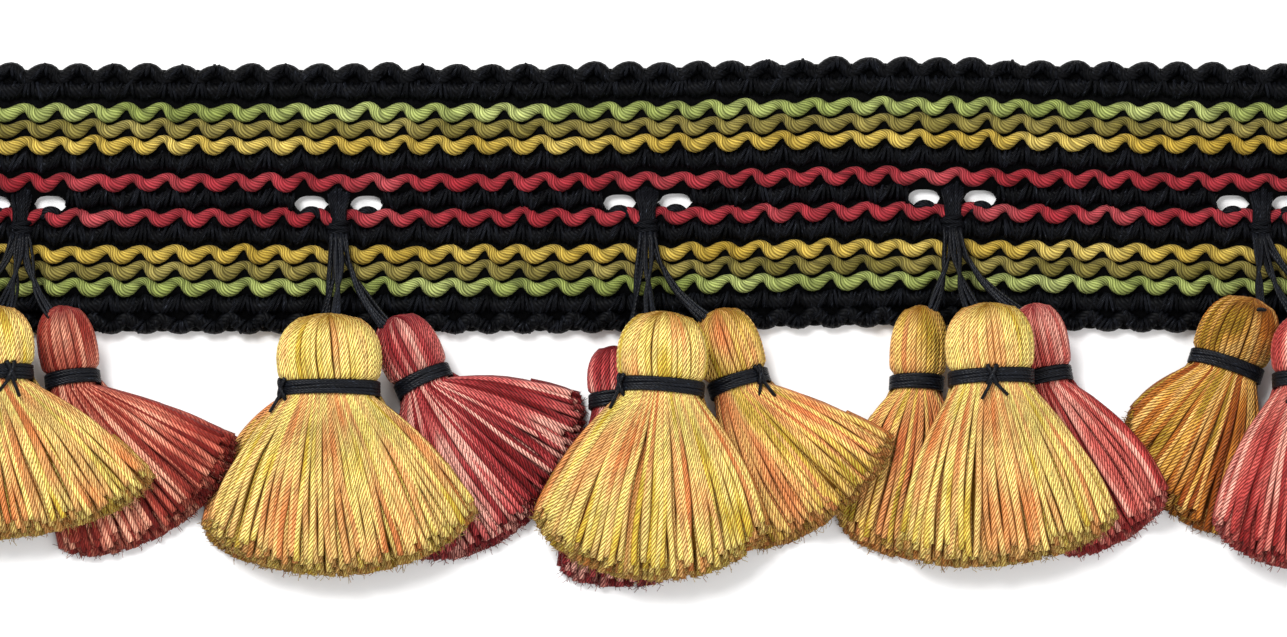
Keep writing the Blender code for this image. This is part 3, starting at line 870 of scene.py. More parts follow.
    def bar(self, cluster: int) -> bpy.types.Object:
        """The wrapped bar between two eyelets, and the bump in each eyelet.

        Args:
            cluster: Number of the cluster.

        Returns:
            The bar.
        """
        mesh = YarnMesh(f"bar_{cluster + 1}")
        centre = bar_x(cluster)
        count = self.bar_yarns
        share = np.linspace(-1, 1, count)[:, None]
        run = np.linspace(0, 1, 16)[None]
        draw = 1 - self.bar_waist * smooth(run / 0.5) + self.bar_flare * smooth((run - 0.6) / 0.3)
        x = centre + share * (BAR_WIDE / 2 - 0.3) * draw + jitter(self.chance, self.uneven, count)
        y = self.bar_top - (self.bar_top - self.bar_foot) * run + bow(centre)
        y = y + jitter(self.chance, 0.2, count)
        z = self.bar_level + self.bar_rise * smooth(run / 0.35) - self.bar_round * share ** 2
        path = np.stack(np.broadcast_arrays(x, y, z), axis=-1)
        mesh.add_yarns(path, UP, self.bar_yarn, place=np.arange(count) + 7.0 * cluster)
        self.wraps(mesh, centre)
        for side in (-1, 1):
            eyelet = centre + side * EYELET_STEP + 0.1
            turn = np.linspace(0, np.pi, 12)[None]
            arch = np.stack([eyelet - 1.4 * np.cos(turn), -3.2 + 1.2 * np.sin(turn) + bow(eyelet),
                             1.25 + 0.4 * np.sin(turn)], axis=-1)
            mesh.add_yarns(arch, UP, self.bump, 8)
        return self.finish(mesh, Cord.BLACK, "black_yarn")

    def wraps(self, mesh: YarnMesh, centre: float) -> None:
        """Turns of yarn across the foot of a bar, where the hangers are knotted.

        A turn is a half ellipse over the bar, with x at centre - wide *
        cos(turn) and z at 2 + 1.8 * sin(turn), and it slopes a little along y.

        Args:
            mesh: Mesh to add them to.
            centre: Middle of the bar.
        """
        turn = np.linspace(-0.2, np.pi + 0.2, 14)[None]
        level, slope, wide = (np.array(row)[:, None]
                              for row in (self.wrap_levels, self.wrap_slopes, self.wrap_wide))
        x = centre - wide * np.cos(turn)
        y = level + bow(centre) + slope * (x - centre)
        path = np.stack(np.broadcast_arrays(x, y, 2.0 + 1.8 * np.sin(turn)), axis=-1)
        normal = np.stack(np.broadcast_arrays(-np.cos(turn), 0 * x, np.sin(turn)), axis=-1)
        mesh.add_yarns(path, normal, 0.44, place=np.arange(4.0))


# ---- tassels ---------------------------------------------------------------


class Side(Enum):
    """Which tassel of a cluster."""

    LEFT = "left"
    FRONT = "front"
    RIGHT = "right"


@dataclass(frozen=True)
class Pile:
    """How high a tassel lies, as in the frame's solids."""

    neck_z: float
    head_deep: float
    neck_deep: float
    skirt_low: float
    hem_low: float
    skirt_deep: float
    hem_deep: float


UNDER = Pile(3.45, 3.1, 2.0, 0.0, 0.0, 4.4, 2.8)
OVER = Pile(11.3, 4.6, 3.2, 5.4, 3.8, 5.0, 3.8)


@dataclass(frozen=True)
class TasselShape:
    """One tassel's place and form, as in the frame's solid of the same name.

    Angles are in degrees from straight down, positive to the right; lengths are
    from the neck. bulge is how much wider the strands leave the neck than they
    end, and tip_lift how far the right-hand tip rises over the next tassel.
    """

    cluster: int
    side: Side
    dye: Dye
    pile: Pile
    neck_x: float
    neck_y: float
    lean: float
    head_wide: float
    head_long: float
    head_z: float
    left: float
    right: float
    left_long: float
    mid_long: float
    right_long: float
    bulge: float
    tip_lift: float = 0.0
    lift_from: float = 0.0
    knot: float | None = None

    @property
    def name(self) -> str:
        """Name shared with the frame's nodes."""
        return f"{self.cluster + 1}_{self.side.value}"

    @property
    def number(self) -> int:
        """Its number along the trim."""
        return 3 * self.cluster + list(Side).index(self.side)

    @property
    def neck_wide(self) -> float:
        """Half width of the bound neck."""
        return self.head_wide - TIE_CLEAR - TIE_WALL

    @property
    def neck(self) -> np.ndarray:
        """Middle of the neck in plan."""
        x = bar_x(self.cluster) + self.neck_x
        return np.array([x, self.neck_y + float(bow(x))])

    @property
    def across_axis(self) -> np.ndarray:
        """Direction across the neck."""
        turn = math.radians(self.lean)
        return np.array([math.cos(turn), math.sin(turn)])

    @property
    def up_axis(self) -> np.ndarray:
        """Direction from the neck to the head's top."""
        turn = math.radians(self.lean)
        return np.array([-math.sin(turn), math.cos(turn)])

    @property
    def top(self) -> np.ndarray:
        """Top of the head."""
        return np.array([*(self.neck + self.up_axis * self.head_long), self.head_z])


LEFT, FRONT, RIGHT = Side
TASSELS = (
    TasselShape(0, LEFT, Dye.GOLD, UNDER, -15.8, -30.3, 0, 4.8, 11.5, 7.7,
                -12, 5, 28.0, 29.0, 28.0, 1.0),
    TasselShape(0, FRONT, Dye.GOLD, OVER, -4.3, -28.9, 2, 7.3, 11.2, 12.1,
                -32, 57, 31.0, 28.3, 34.2, 1.1, knot=60),
    TasselShape(0, RIGHT, Dye.ROSE, UNDER, 8.6, -29.9, 7, 4.9, 12.2, 8.4,
                -4, 70, 30.5, 30.5, 31.2, 1.15, 4.2, 0.56),
    TasselShape(1, LEFT, Dye.PEACH, UNDER, -5.7, -31.6, -6, 4.4, 7.2, 3.6,
                -36, 12, 30.6, 31.0, 31.0, 2.0),
    TasselShape(1, FRONT, Dye.GOLD, OVER, -1.2, -31.4, 0, 8.7, 12.3, 11.9,
                -41, 50, 33.1, 31.8, 34.1, 1.1, knot=152),
    TasselShape(1, RIGHT, Dye.WINE, UNDER, 14.0, -30.1, 24, 5.2, 11.5, 7.5,
                -3, 84, 31.7, 29.8, 28.2, 1.3),
    TasselShape(2, LEFT, Dye.WINE, UNDER, -5.5, -33.6, 0, 4.5, 8.9, 3.6,
                -18, 19, 31.5, 31.8, 32.5, 1.0),
    TasselShape(2, FRONT, Dye.GOLD, OVER, 2.3, -31.4, -4, 7.5, 12.3, 11.9,
                -44, 37, 32.5, 33.0, 31.5, 1.1, knot=152),
    TasselShape(2, RIGHT, Dye.PEACH, UNDER, 15.2, -31.1, 17, 5.5, 12.6, 7.45,
                5, 70, 29.7, 28.0, 29.1, 1.15, 4.8, 0.22, knot=48),
    TasselShape(3, LEFT, Dye.PEACH, UNDER, -6.0, -31.6, -3, 4.8, 12.8, 7.2,
                -29, 11, 28.1, 29.7, 30.5, 2.0),
    TasselShape(3, FRONT, Dye.GOLD, OVER, 6.0, -30.4, 2, 7.4, 12.2, 12.1,
                -28, 42, 34.6, 32.0, 34.0, 1.1, knot=90),
    TasselShape(3, RIGHT, Dye.CORAL, UNDER, 15.1, -30.3, 10, 5.1, 12.3, 8.0,
                5, 47, 31.0, 31.0, 29.6, 1.8, 5.0, 0.62),
    TasselShape(4, LEFT, Dye.AMBER, UNDER, -5.8, -27.7, -18, 6.6, 11.6, 14.0,
                -64, 9, 18.5, 25.8, 30.0, 1.0),
    TasselShape(4, FRONT, Dye.CORAL, OVER, 8.2, -29.9, 0, 7.3, 11.0, 12.6,
                -34, 34, 31.0, 32.3, 31.0, 1.1, knot=120),
    TasselShape(4, RIGHT, Dye.GOLD, UNDER, 18.8, -30.3, 8, 4.8, 12.0, 7.8,
                -5, 12, 29.0, 29.0, 28.5, 1.0),
)


@dataclass(frozen=True)
class Layer:
    """One layer of strands in a skirt.

    height, start and reach are shares: of the skirt's thickness, and of its
    length where the strands begin and end. uneven is the spread of their ends.
    """

    height: float
    start: float
    reach: float
    uneven: float
    rings: int
    spacing: float
    # How far the layer's strands are darkened, as painted shade under the layers above.
    depth: float


SKIRT_LAYERS = (
    Layer(1.0, 0.0, 0.915, 0.02, 24, 1.0, 0.0),
    Layer(0.84, 0.25, 0.95, 0.014, 10, 0.92, 0.22),
    Layer(0.56, 0.62, 0.985, 0.008, 4, 0.86, 0.5),
    Layer(0.3, 0.62, 0.992, 0.006, 4, 0.9, 0.65),
    Layer(0.06, 0.0, 0.985, 0.008, 10, 1.05, 0.5),
)


@dataclass
class Tassel:
    """A tassel: head, neck and skirt of single strands round a dark core.

    Strands and fibres are given by their radius, in millimetres.
    """

    shape: TasselShape
    dresser: Dresser
    strand: float = 0.56          # radius of a strand at the hem
    strand_at_neck: float = 0.34
    strand_uneven: float = 0.06
    edge_short: float = 0.06      # how much shorter the outermost strands are
    neck_fill: float = 1.02       # width of the strands' start over the neck's
    settle_by: float = 0.42       # share of a strand's length at which the skirt is settled
    thin_from: float = 0.45       # and from which it thins towards the hem
    lift_spread: float = 0.32     # share of the skirt's width over which a lifted tip rises
    row_reach: float = 0.985      # how near the outermost strands lie to the edge
    row_uneven: float = 0.35      # in half spacings, as are sway, pull and stray_shift
    inside_neck: float = 0.06     # share of a strand's length that starts inside the neck
    neck_run: float = 30.0        # length in millimetres that this share is taken of
    sway: float = 0.8
    sway_waves: float = 7.0
    rise_uneven: float = 0.18
    proud: float = 0.4            # how far the outer layer stands out
    stray_share: float = 0.07     # share of its strands that lie across others
    stray_shift: float = 4.0
    stray_rise: float = 0.45
    bunch: float = 5.0            # strands in a bunch
    pull: float = 0.42            # how hard a bunch draws together
    sink: float = 0.2             # how far its middle sinks
    head_spacing: float = 0.74
    head_rings: int = 16
    head_inset: float = 0.37
    head_lean: float = 0.14       # twist of the head's strands, in radians
    core_inset: float = 0.75
    head_strand: tuple[float, float] = (0.3, 0.52)      # least and greatest radius
    head_tone: float = 0.35       # least chance value of its strands
    fuzz: float = 0.055           # radius of a loose fibre
    fuzz_per_mm: float = 14.0
    fuzz_long: tuple[float, float] = (0.5, 1.7)
    fuzz_curl: float = 0.7
    fuzz_lowest: float = 0.15

    def __post_init__(self) -> None:
        """Start the tassel's own row of chances."""
        self.chance = np.random.default_rng(100 + self.shape.number)

    def build(self) -> bpy.types.Object:
        """Build and dress the tassel.

        Returns:
            The tassel.
        """
        mesh = YarnMesh(f"tassel_{self.shape.name}_yarns")
        self.add_core(mesh)
        self.add_head(mesh)
        for layer in SKIRT_LAYERS:
            self.add_layer(mesh, layer)
        self.add_fuzz(mesh)
        gold = self.shape.dye in (Dye.GOLD, Dye.PEACH, Dye.AMBER)
        return mesh.finish(self.dresser.material(self.shape.dye),
                           "gold_yarn" if gold else "red_yarn", "tassel_" + self.shape.name)

    def plan(self, across: np.ndarray, along: np.ndarray) -> np.ndarray:
        """Plan point of the skirt.

        A strand is a bend from the neck to the hem: start * (1 - along)^2 +
        control * 2 * along * (1 - along) + end * along^2.

        Args:
            across: -1 at the left edge to 1 at the right.
            along: 0 at the neck to 1 at the hem; below 0 inside the neck.

        Returns:
            Points with x and y in the last axis.
        """
        shape = self.shape
        across, along = np.broadcast_arrays(across, along)
        middle = (shape.left + shape.right) / 2
        angle = middle + across * (shape.right - shape.left) / 2
        sway = (shape.right_long - shape.left_long) / 2
        crown = (shape.right_long + shape.left_long) / 2 - shape.mid_long
        length = shape.mid_long + sway * across + crown * across ** 2
        length = length * (1 - self.edge_short * np.abs(across) ** 6)
        wide = shape.neck_wide * self.neck_fill
        start = shape.neck + shape.across_axis * (across * wide)[..., None]
        start = start - shape.up_axis * NECK_HALF_LONG
        end = shape.neck + self.heading_of(angle) * length[..., None]
        leave = self.heading_of(middle + (angle - middle) * shape.bulge)
        control = start + leave * (length * SKIRT_BEND)[..., None]
        share = np.clip(along, 0, 1.2)[..., None]
        point = start * (1 - share) ** 2 + control * 2 * share * (1 - share) + end * share ** 2
        inside = np.minimum(along, 0)[..., None] * self.neck_run
        return point - shape.up_axis * inside

    @staticmethod
    def heading_of(degrees: np.ndarray) -> np.ndarray:
        """Unit plan vectors at angles from straight down."""
        turn = np.radians(degrees)
        return np.stack([np.sin(turn), -np.cos(turn)], axis=-1)

    def levels(self, across: np.ndarray, along: np.ndarray) -> tuple[np.ndarray, np.ndarray]:
        """Heights of the skirt's underside and upper side.

        Args:
            across: -1 at the left edge to 1 at the right.
            along: 0 at the neck to 1 at the hem.

        Returns:
            The two heights.
        """
        shape, pile = self.shape, self.shape.pile
        across, along = np.broadcast_arrays(across, along)
        settle = smooth(along / self.settle_by)
        thin = smooth((along - self.thin_from) / (1 - self.thin_from))
        deep = pile.neck_deep * 2 + (pile.skirt_deep - pile.neck_deep * 2) * settle
        deep = deep + (pile.hem_deep - pile.skirt_deep) * thin
        low = pile.neck_z - pile.neck_deep
        low = low + (pile.skirt_low - low) * settle + (pile.hem_low - pile.skirt_low) * thin
        reach = smooth(((across + 1) / 2 - shape.lift_from) / self.lift_spread)
        middle = low + deep / 2 + shape.tip_lift * reach * smooth((along - 0.3) / 0.45)
        swell = np.sqrt(np.clip(1 - across ** 2, 0, 1))
        return (middle - deep / 2 * np.minimum(1, 1.5 * swell), middle + deep / 2 * swell ** 0.8)

    def hem_long(self) -> float:
        """Length of the skirt's widest line across the strands.

        Returns:
            The length in millimetres.
        """
        across = np.linspace(-1, 1, 60)
        spans = [np.linalg.norm(np.diff(self.plan(across, np.full(60, along)), axis=0), axis=1).sum()
                 for along in (0.6, 0.92)]
        return float(max(spans))

    def add_layer(self, mesh: YarnMesh, layer: Layer) -> None:
        """Add one layer of strands, from the neck or from under the others.

        Args:
            mesh: Mesh to add them to.
            layer: Which layer.
        """
        count = max(12, int(self.hem_long() / layer.spacing))
        row = np.linspace(-self.row_reach, self.row_reach, count)[:, None]
        row = np.clip(row + jitter(self.chance, self.row_uneven / count, count), -0.995, 0.995)
        tone = self.chance.random(count)
        reach = layer.reach + jitter(self.chance, layer.uneven, count)
        reach = np.clip(reach, 0.5, 0.995)
        start = layer.start or -self.inside_neck
        along = start + (reach - start) * np.linspace(0, 1, layer.rings) ** 0.9
        wave = self.chance.uniform(0, 2 * np.pi, (count, 2))
        sway = self.sway / count * np.sin(along * self.sway_waves + wave[:, :1]) * smooth(along)
        pull, sink = self.bunches(row)
        sway = sway + pull * smooth(along * 1.2)
        low, high = self.levels(np.clip(row + sway, -1, 1), along)
        outer = layer.depth == 0
        high = high + self.proud * outer
        radius = self.strand_at_neck + (self.strand - self.strand_at_neck) * smooth(along * 1.4)
        radius = radius * (1 + jitter(self.chance, self.strand_uneven, count))
        rise = jitter(self.chance, self.rise_uneven, count) * smooth(along * 2)
        rise = rise - sink * smooth(along * 1.5)
        if outer:
            stray = self.chance.random((count, 1)) < self.stray_share
            shift = jitter(self.chance, self.stray_shift / count, count)
            sway = sway + stray * shift * smooth(along)
            rise = rise + stray * (sink + self.stray_rise) * smooth(along * 1.5)
        height = low + (high - low) * layer.height + rise
        height = np.clip(height, low + radius * 0.5, high - radius * 0.5)
        plan = self.plan(np.clip(row + sway, -1, 1), along)
        side = list(Side).index(self.shape.side)
        mesh.add_yarns(np.concatenate([plan, height[..., None]], axis=-1), UP, radius,
                       place=row[:, 0] * count / 2 + 37 * self.shape.cluster + 11 * side,
                       tone=tone, depth=layer.depth)

    def add_fuzz(self, mesh: YarnMesh) -> None:
        """Add the loose cut fibres round the hem.

        Args:
            mesh: Mesh to add them to.
        """
        count = int(self.hem_long() * self.fuzz_per_mm)
        across = self.chance.uniform(-0.99, 0.99, (count, 1))
        along = self.chance.uniform(0.9, 0.985, (count, 1))
        low, high = self.levels(across, along)
        height = low + (high - low) * self.chance.uniform(0.1, 1.0, (count, 1))
        root = self.plan(across, along)
        ahead = (self.plan(across, along + 0.01) - root)[:, 0]
        turn = np.arctan2(ahead[:, 1], ahead[:, 0])[:, None] + jitter(self.chance, 0.4, count)
        share = np.linspace(0, 1, 3)[None]
        turn = turn + jitter(self.chance, self.fuzz_curl, count) * share
        reach = self.chance.uniform(*self.fuzz_long, (count, 1)) * share
        step = np.stack([reach * np.cos(turn), reach * np.sin(turn),
                         reach * jitter(self.chance, 0.25, count)], axis=-1)
        path = np.concatenate([root, height[..., None]], axis=-1) + step
        path[..., 2] = np.maximum(path[..., 2], self.fuzz_lowest)
        mesh.add_yarns(path, UP, self.fuzz, 3, tone=self.chance.random(count),
                       place=across[:, 0] * 20, depth=self.chance.uniform(0.0, 0.5, count))

    def bunches(self, row: np.ndarray) -> tuple[np.ndarray, np.ndarray]:
        """How strands gather in small bunches, and how far some sink.

        Args:
            row: Place of each strand, -1 to 1.

        Returns:
            Sideways pull of each strand, and its drop below the layer.
        """
        count = len(row)
        bunches = count / self.bunch
        phase = row * bunches * np.pi + 1.3 * np.sin(row * 7 + self.chance.uniform(0, 6))
        pull = -self.pull / count * np.sin(phase)
        sink = self.sink * (1 - np.cos(row * bunches * 2.1 + self.chance.uniform(0, 6))) / 2
        return pull, sink + np.abs(jitter(self.chance, 0.1, count))

    def head_profile(self, share: np.ndarray) -> tuple[np.ndarray, np.ndarray, np.ndarray]:
        """Outline of the head from its top into the neck.

        Above its widest place the outline is a squarish ellipse, below it the
        head narrows a little and then draws in under the tie.

        Args:
            share: 0 at the top to 1 in the middle of the neck.

        Returns:
            Height above the neck, half width and half depth.
        """
        shape, pile = self.shape, self.shape.pile
        turn = np.clip(share / HEAD_TURN, 0, 1) * np.pi / 2
        power = 2 / HEAD_DOME
        wide = shape.head_wide * np.sin(turn) ** power
        height = HEAD_WIDEST + (1 - HEAD_WIDEST) * np.clip(np.cos(turn), 0, 1) ** power
        height = height * shape.head_long
        drop = np.clip((share - HEAD_TURN) / (1 - HEAD_TURN), 0, 1)
        height = height - drop * HEAD_WIDEST * shape.head_long
        tuck = smooth((drop - 0.5) / 0.42)
        wide = wide * (1 - 0.05 * drop) * (1 - tuck) + shape.neck_wide * tuck
        deep = pile.head_deep * wide / shape.head_wide * (1 - tuck) + pile.neck_deep * tuck
        return height, wide, deep

    def head_points(self, turn: np.ndarray, share: np.ndarray, inset: float) -> tuple:
        """Points on the head at a turn round it, and the way out there.

        Args:
            turn: Radians round the head from its right side over the top.
            share: 0 at the top to 1 in the middle of the neck.
            inset: How far inside the skin.

        Returns:
            Points and outward directions.
        """
        shape = self.shape
        turn, share = np.broadcast_arrays(turn, share)
        height, wide, deep = self.head_profile(share)
        rise = np.maximum(0, height - NECK_HALF_LONG) / (shape.head_long - NECK_HALF_LONG)
        level = shape.pile.neck_z + (shape.head_z - shape.pile.neck_z) * rise
        wide, deep = np.maximum(wide - inset, 0.05), np.maximum(deep - inset, 0.05)
        height = height - inset * (share < 0.2)
        plan = (shape.neck + shape.up_axis * height[..., None]
                + shape.across_axis * (wide * np.cos(turn))[..., None])
        points = np.concatenate([plan, (level + deep * np.sin(turn))[..., None]], axis=-1)
        flare = np.cos(np.clip(share / HEAD_TURN, 0, 1) * np.pi / 2)
        out = np.concatenate([shape.across_axis * (np.cos(turn) / wide)[..., None],
                              (np.sin(turn) / deep)[..., None]], axis=-1)
        out = unit(out) * np.sqrt(1 - np.clip(flare, 0, 0.99) ** 2)[..., None]
        out[..., :2] += shape.up_axis * flare[..., None]
        return points, unit(out)

    def add_head(self, mesh: YarnMesh) -> None:
        """Add the strands that run from the top of the head into the neck.

        Args:
            mesh: Mesh to add them to.
        """
        girth = np.pi * (self.shape.head_wide + self.shape.pile.head_deep)
        count = int(girth / self.head_spacing)
        turn = np.linspace(0, 2 * np.pi, count, endpoint=False)[:, None]
        turn = turn + jitter(self.chance, 0.012, count)
        share = np.linspace(0.02, 1, self.head_rings)[None]
        lean = self.head_lean + jitter(self.chance, 0.02, count)
        path, out = self.head_points(turn + lean * (1 - share), share, self.head_inset)
        height, wide, _ = self.head_profile(share)
        least, most = self.head_strand
        radius = np.clip(least + (most - least) * wide / self.shape.head_wide, least, most)
        radius = radius * (1 + jitter(self.chance, 0.03, count))
        path = path + out * jitter(self.chance, 0.07, count)[..., None]
        tone = self.head_tone + (1 - self.head_tone) * self.chance.random(count)
        place = turn[:, 0] * count / 6.3 + 5 + 19 * self.shape.cluster
        # Painted shade: strands darken towards the crown under the hangers, by a chance amount each,
        # and where they run into the neck under the tie.
        streak = self.chance.uniform(0.6, 1.1, (count, 1))
        shade = streak * smooth((height / self.shape.head_long - 0.62) / 0.36)
        shade = shade + 0.5 * smooth((share - 0.75) / 0.2)
        mesh.add_yarns(path, out, radius, place=place, tone=tone, depth=shade)

    def add_core(self, mesh: YarnMesh) -> None:
        """Add the dark inside, coloured as painted shade, that closes the view between the strands.

        Args:
            mesh: Mesh to add it to.
        """
        turn = np.linspace(0, 2 * np.pi, 24, endpoint=False)[None]
        share = np.linspace(0.04, 0.9, 10)[:, None]
        head, _ = self.head_points(turn, share, 1.0)
        across = np.cos(turn) * 0.93
        along = np.linspace(0.0, 0.86, 10)[:, None]
        low, high = self.levels(across, along)
        half = np.maximum((high - low) / 2 - self.core_inset, 0.1)
        edge = np.abs(np.sin(turn)) <= 0.05
        height = (low + high) / 2 + np.where(edge, 0, np.sign(np.sin(turn))) * half
        skirt = np.concatenate([self.plan(across, along), height[..., None]], axis=-1)
        mesh.add_skin(np.concatenate([head, skirt]), depth=1.0, flip=True)


# ---- ties and hangers ------------------------------------------------------


@dataclass
class Tie:
    """Wound yarn round a tassel's neck, with its knot and tails."""

    shape: TasselShape
    dresser: Dresser
    turns: int = 5
    rings_per_turn: int = 36
    yarn: float = 0.36
    half_long: float = 1.15
    arch: float = 0.7
    knot_yarn: float = 0.42
    knot_half: float = 1.55
    tail_yarn: float = 0.3
    tail_long: float = 3.6
    tail_drop: float = 0.9

    def ring_point(self, turn: np.ndarray, shift: np.ndarray,
                   out: np.ndarray | float) -> np.ndarray:
        """Points on the wound ring.

        Args:
            turn: Radians round the neck from its right side over the top.
            shift: Distance along the neck, towards the head.
            out: Distance outside the tie's inner face.

        Returns:
            Points.
        """
        shape = self.shape
        wide = shape.neck_wide + TIE_CLEAR + out
        deep = shape.pile.neck_deep + TIE_CLEAR + out
        across = wide * np.cos(turn)
        rise = shift + self.arch * (np.sin(turn) - 0.6)
        plan = (shape.neck + shape.across_axis * across[..., None]
                + shape.up_axis * rise[..., None])
        height = shape.pile.neck_z + deep * np.sin(turn)
        return np.concatenate([plan, height[..., None]], axis=-1)

    def build(self) -> bpy.types.Object:
        """Wind the yarn and tie the knot.

        Returns:
            The tie.
        """
        mesh = YarnMesh(f"tie_{self.shape.name}_yarn")
        chance = np.random.default_rng(300 + self.shape.number)
        share = np.linspace(0, 1, self.turns * self.rings_per_turn)[None]
        turn = 2 * np.pi * self.turns * share - np.pi / 2
        shift = self.half_long * (1 - 2 * share) + 0.1 * np.sin(turn * 1.3 + chance.random() * 6)
        path = self.ring_point(turn, shift, self.yarn + 0.1)
        mesh.add_yarns(path, self.outward(turn), self.yarn, squash=0.85)
        if self.shape.knot is not None:
            self.add_knot(mesh, chance)
        return mesh.finish(self.dresser.material(Cord.BINDING), "black_yarn",
                           "tie_" + self.shape.name)

    def outward(self, turn: np.ndarray) -> np.ndarray:
        """Outward directions round the ring.

        Args:
            turn: Radians round the neck from its right side over the top.

        Returns:
            Unit directions.
        """
        shape = self.shape
        wide, deep = shape.neck_wide + TIE_CLEAR, shape.pile.neck_deep + TIE_CLEAR
        side = shape.across_axis * (np.cos(turn) / wide)[..., None]
        return unit(np.concatenate([side, (np.sin(turn) / deep)[..., None]], axis=-1))

    def add_knot(self, mesh: YarnMesh, chance: np.random.Generator) -> None:
        """Add a crossed knot over the turns, and its two cut tails.

        Args:
            mesh: Mesh to add it to.
            chance: Source of small differences.
        """
        centre = math.radians(self.shape.knot)
        run = np.linspace(-1, 1, 12)
        for lean in (-0.55, 0.5):
            turn = centre + lean * 0.2 * run
            out = self.yarn * 2 + 0.15 + 0.35 * (1 - run ** 4)
            path = self.ring_point(turn, self.knot_half * run, out)
            mesh.add_yarns(path[None], self.outward(turn)[None], self.knot_yarn, squash=0.9)
        start = self.ring_point(np.array(centre), np.array(-0.9), self.yarn * 2 + 0.4)
        share = np.linspace(0, 1, 9)[:, None]
        for side in (-0.5, 0.6):
            angle = side + chance.normal(0, 0.15)
            way = -self.shape.up_axis * math.cos(angle) + self.shape.across_axis * math.sin(angle)
            tail = start + np.concatenate([way, [0.0]]) * self.tail_long * share
            tail[:, 2] -= self.tail_drop * share[:, 0] ** 1.5
            mesh.add_yarns(tail[None], UP, self.tail_yarn)


HANGER_STARTS = {Side.LEFT: -0.75, Side.FRONT: 0.0, Side.RIGHT: 0.75}


@dataclass
class Hanger:
    """Yarns from the bar to the top of a tassel's head.

    drift and drop are the shares of the way, along x and y, at which the yarns
    bend; near_side is the share of the head's width by which they land short.
    """

    shape: TasselShape
    dresser: Dresser
    yarns: int = 5
    yarn: float = 0.29
    start_y: float = -5.9
    start_z: float = 3.7
    drift: float = 0.15
    drop: float = 0.6
    near_side: float = 0.3
    overlap: float = 2.2
    over_head: float = 0.7

    def build(self) -> bpy.types.Object:
        """Lay the yarns.

        Their line is a bend, start * (1 - s)^2 + bend * 2 * s * (1 - s) + end *
        s^2, for s from 0 to 1, and they fan out and twist round it.

        Returns:
            The hanger.
        """
        shape = self.shape
        mesh = YarnMesh(f"hanger_{shape.name}_yarns")
        chance = np.random.default_rng(500 + shape.number)
        x = bar_x(shape.cluster) + HANGER_STARTS[shape.side]
        start = np.array([x, self.start_y + float(bow(x)), self.start_z])
        end = shape.top + np.concatenate([-shape.up_axis * self.overlap, [self.over_head]])
        near = self.near_side * shape.head_wide
        end[0] += np.clip(x - end[0], -near, near)
        bend = np.array([x + self.drift * (end[0] - x), start[1] + self.drop * (end[1] - start[1]),
                         end[2]])
        share = np.linspace(0, 1, 18)[None, :, None]
        line = start * (1 - share) ** 2 + bend * 2 * share * (1 - share) + end * share ** 2
        line[..., 2] = start[2] + (end[2] - start[2]) * share[..., 0] ** 1.25
        line[..., 2] += 0.5 * np.sin(np.pi * share[..., 0])
        offset = np.linspace(-1, 1, self.yarns)[:, None]
        spread = 0.55 + 1.2 * share[..., 0] ** 2.5
        twist = 2.4 * smooth(share[..., 0] / 0.7) + chance.uniform(-0.5, 0.3)
        path = np.repeat(line, self.yarns, axis=0)
        path[..., 0] += offset * spread * np.cos(twist)
        path[..., 0] += 0.24 * np.sin(share[..., 0] * 6 + chance.uniform(0, 6, (self.yarns, 1)))
        path[..., 2] += 0.35 * offset * np.sin(twist + offset)
        mesh.add_yarns(path, UP, self.yarn, place=np.arange(self.yarns),
                       tone=chance.random(self.yarns))
        return mesh.finish(self.dresser.material(Cord.BINDING), "black_yarn",
                           "hanger_" + shape.name)


# ---- table, light and camera -----------------------------------------------


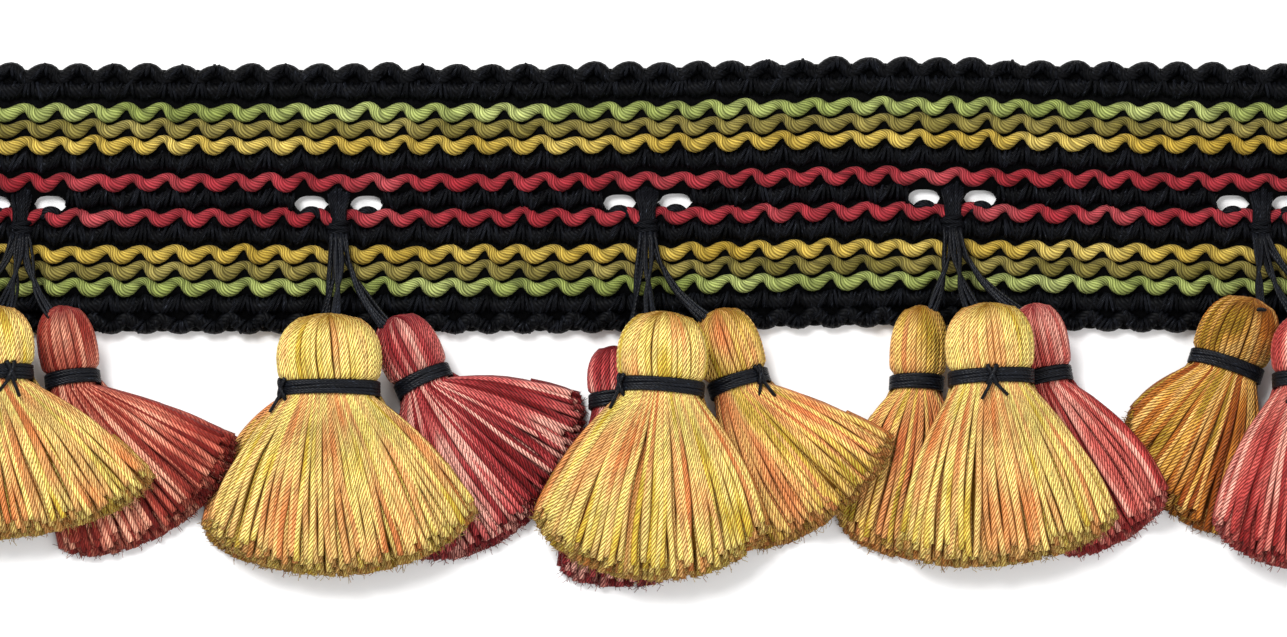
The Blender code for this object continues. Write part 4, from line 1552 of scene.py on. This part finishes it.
@dataclass
class Studio:
    """Pale table, soft light and a camera straight above."""

    view_wide: float = 214.5
    view_y: float = -20.0
    view_level: float = 5.0
    camera_high: float = 1200.0
    sensor: float = 36.0
    table_reach: float = 3.0      # metres
    sky: float = 0.7

    def build(self) -> None:
        """Set up everything that isn't the trim."""
        self.table()
        self.lights()
        self.camera()

    def table(self) -> None:
        """Add the table top."""
        mesh = bpy.data.meshes.new("table")
        reach = self.table_reach
        corners = [(-reach, -reach, 0), (reach, -reach, 0), (reach, reach, 0), (-reach, reach, 0)]
        mesh.from_pydata(corners, [], [(0, 1, 2, 3)])
        material = bpy.data.materials.new("table_white")
        material.use_nodes = True
        bench = NodeBench(material.node_tree)
        place = bench.add("TexCoord", {}).outputs["Object"]
        noise = bench.add("TexNoise", {"Vector": place, "Scale": 3.0, "Detail": 2.0})
        colour = bench.blend(noise.outputs["Fac"], (0.93, 0.93, 0.93, 1), (0.9, 0.9, 0.9, 1))
        bench.wire(material.node_tree.nodes["Principled BSDF"],
                   {"Base Color": colour, "Roughness": 0.8})
        mesh.materials.append(material)
        table = bpy.data.objects.new("table", mesh)
        bpy.context.scene.collection.objects.link(table)

    def lights(self) -> None:
        """Add a soft key light, a fill and an even sky, in metres and watts."""
        for name, place, size, power in (("key_light", (-0.5, 0.75, 1.1), 0.6, 23.5),
                                         ("fill_light", (0.9, -0.5, 1.3), 1.2, 8.0)):
            light = bpy.data.lights.new(name, "AREA")
            light.size = size
            light.energy = power
            lamp = bpy.data.objects.new(name, light)
            lamp.location = place
            direction = -np.array(place)
            turn = math.atan2(direction[1], direction[0]) - math.pi / 2
            tilt = math.atan2(math.hypot(direction[0], direction[1]), -direction[2])
            lamp.rotation_euler = (tilt, 0, turn)
            bpy.context.scene.collection.objects.link(lamp)
        world = bpy.data.worlds.new("studio")
        world.use_nodes = True
        background = world.node_tree.nodes["Background"]
        background.inputs["Color"].default_value = (1.0, 1.0, 1.0, 1.0)
        background.inputs["Strength"].default_value = self.sky
        bpy.context.scene.world = world
        bpy.context.scene.view_settings.view_transform = "Standard"

    def camera(self) -> None:
        """Add the camera that looks straight down on the trim."""
        camera = bpy.data.cameras.new("camera")
        camera.sensor_width = self.sensor
        camera.lens = self.sensor * (self.camera_high - self.view_level) / self.view_wide
        camera.clip_start, camera.clip_end = 0.05, 10.0
        holder = bpy.data.objects.new("camera", camera)
        holder.location = (0.0, self.view_y * MM, self.camera_high * MM)
        bpy.context.scene.collection.objects.link(holder)
        bpy.context.scene.camera = holder


def main() -> None:
    """Build the trim's looks and its studio."""
    logging.basicConfig(level=logging.INFO, format="%(name)s: %(message)s")
    dresser = Dresser()
    Heading(dresser).build()
    for shape in TASSELS:
        Tassel(shape, dresser).build()
        Tie(shape, dresser).build()
        Hanger(shape, dresser).build()
    Studio().build()


if __name__ == "__main__":
    main()
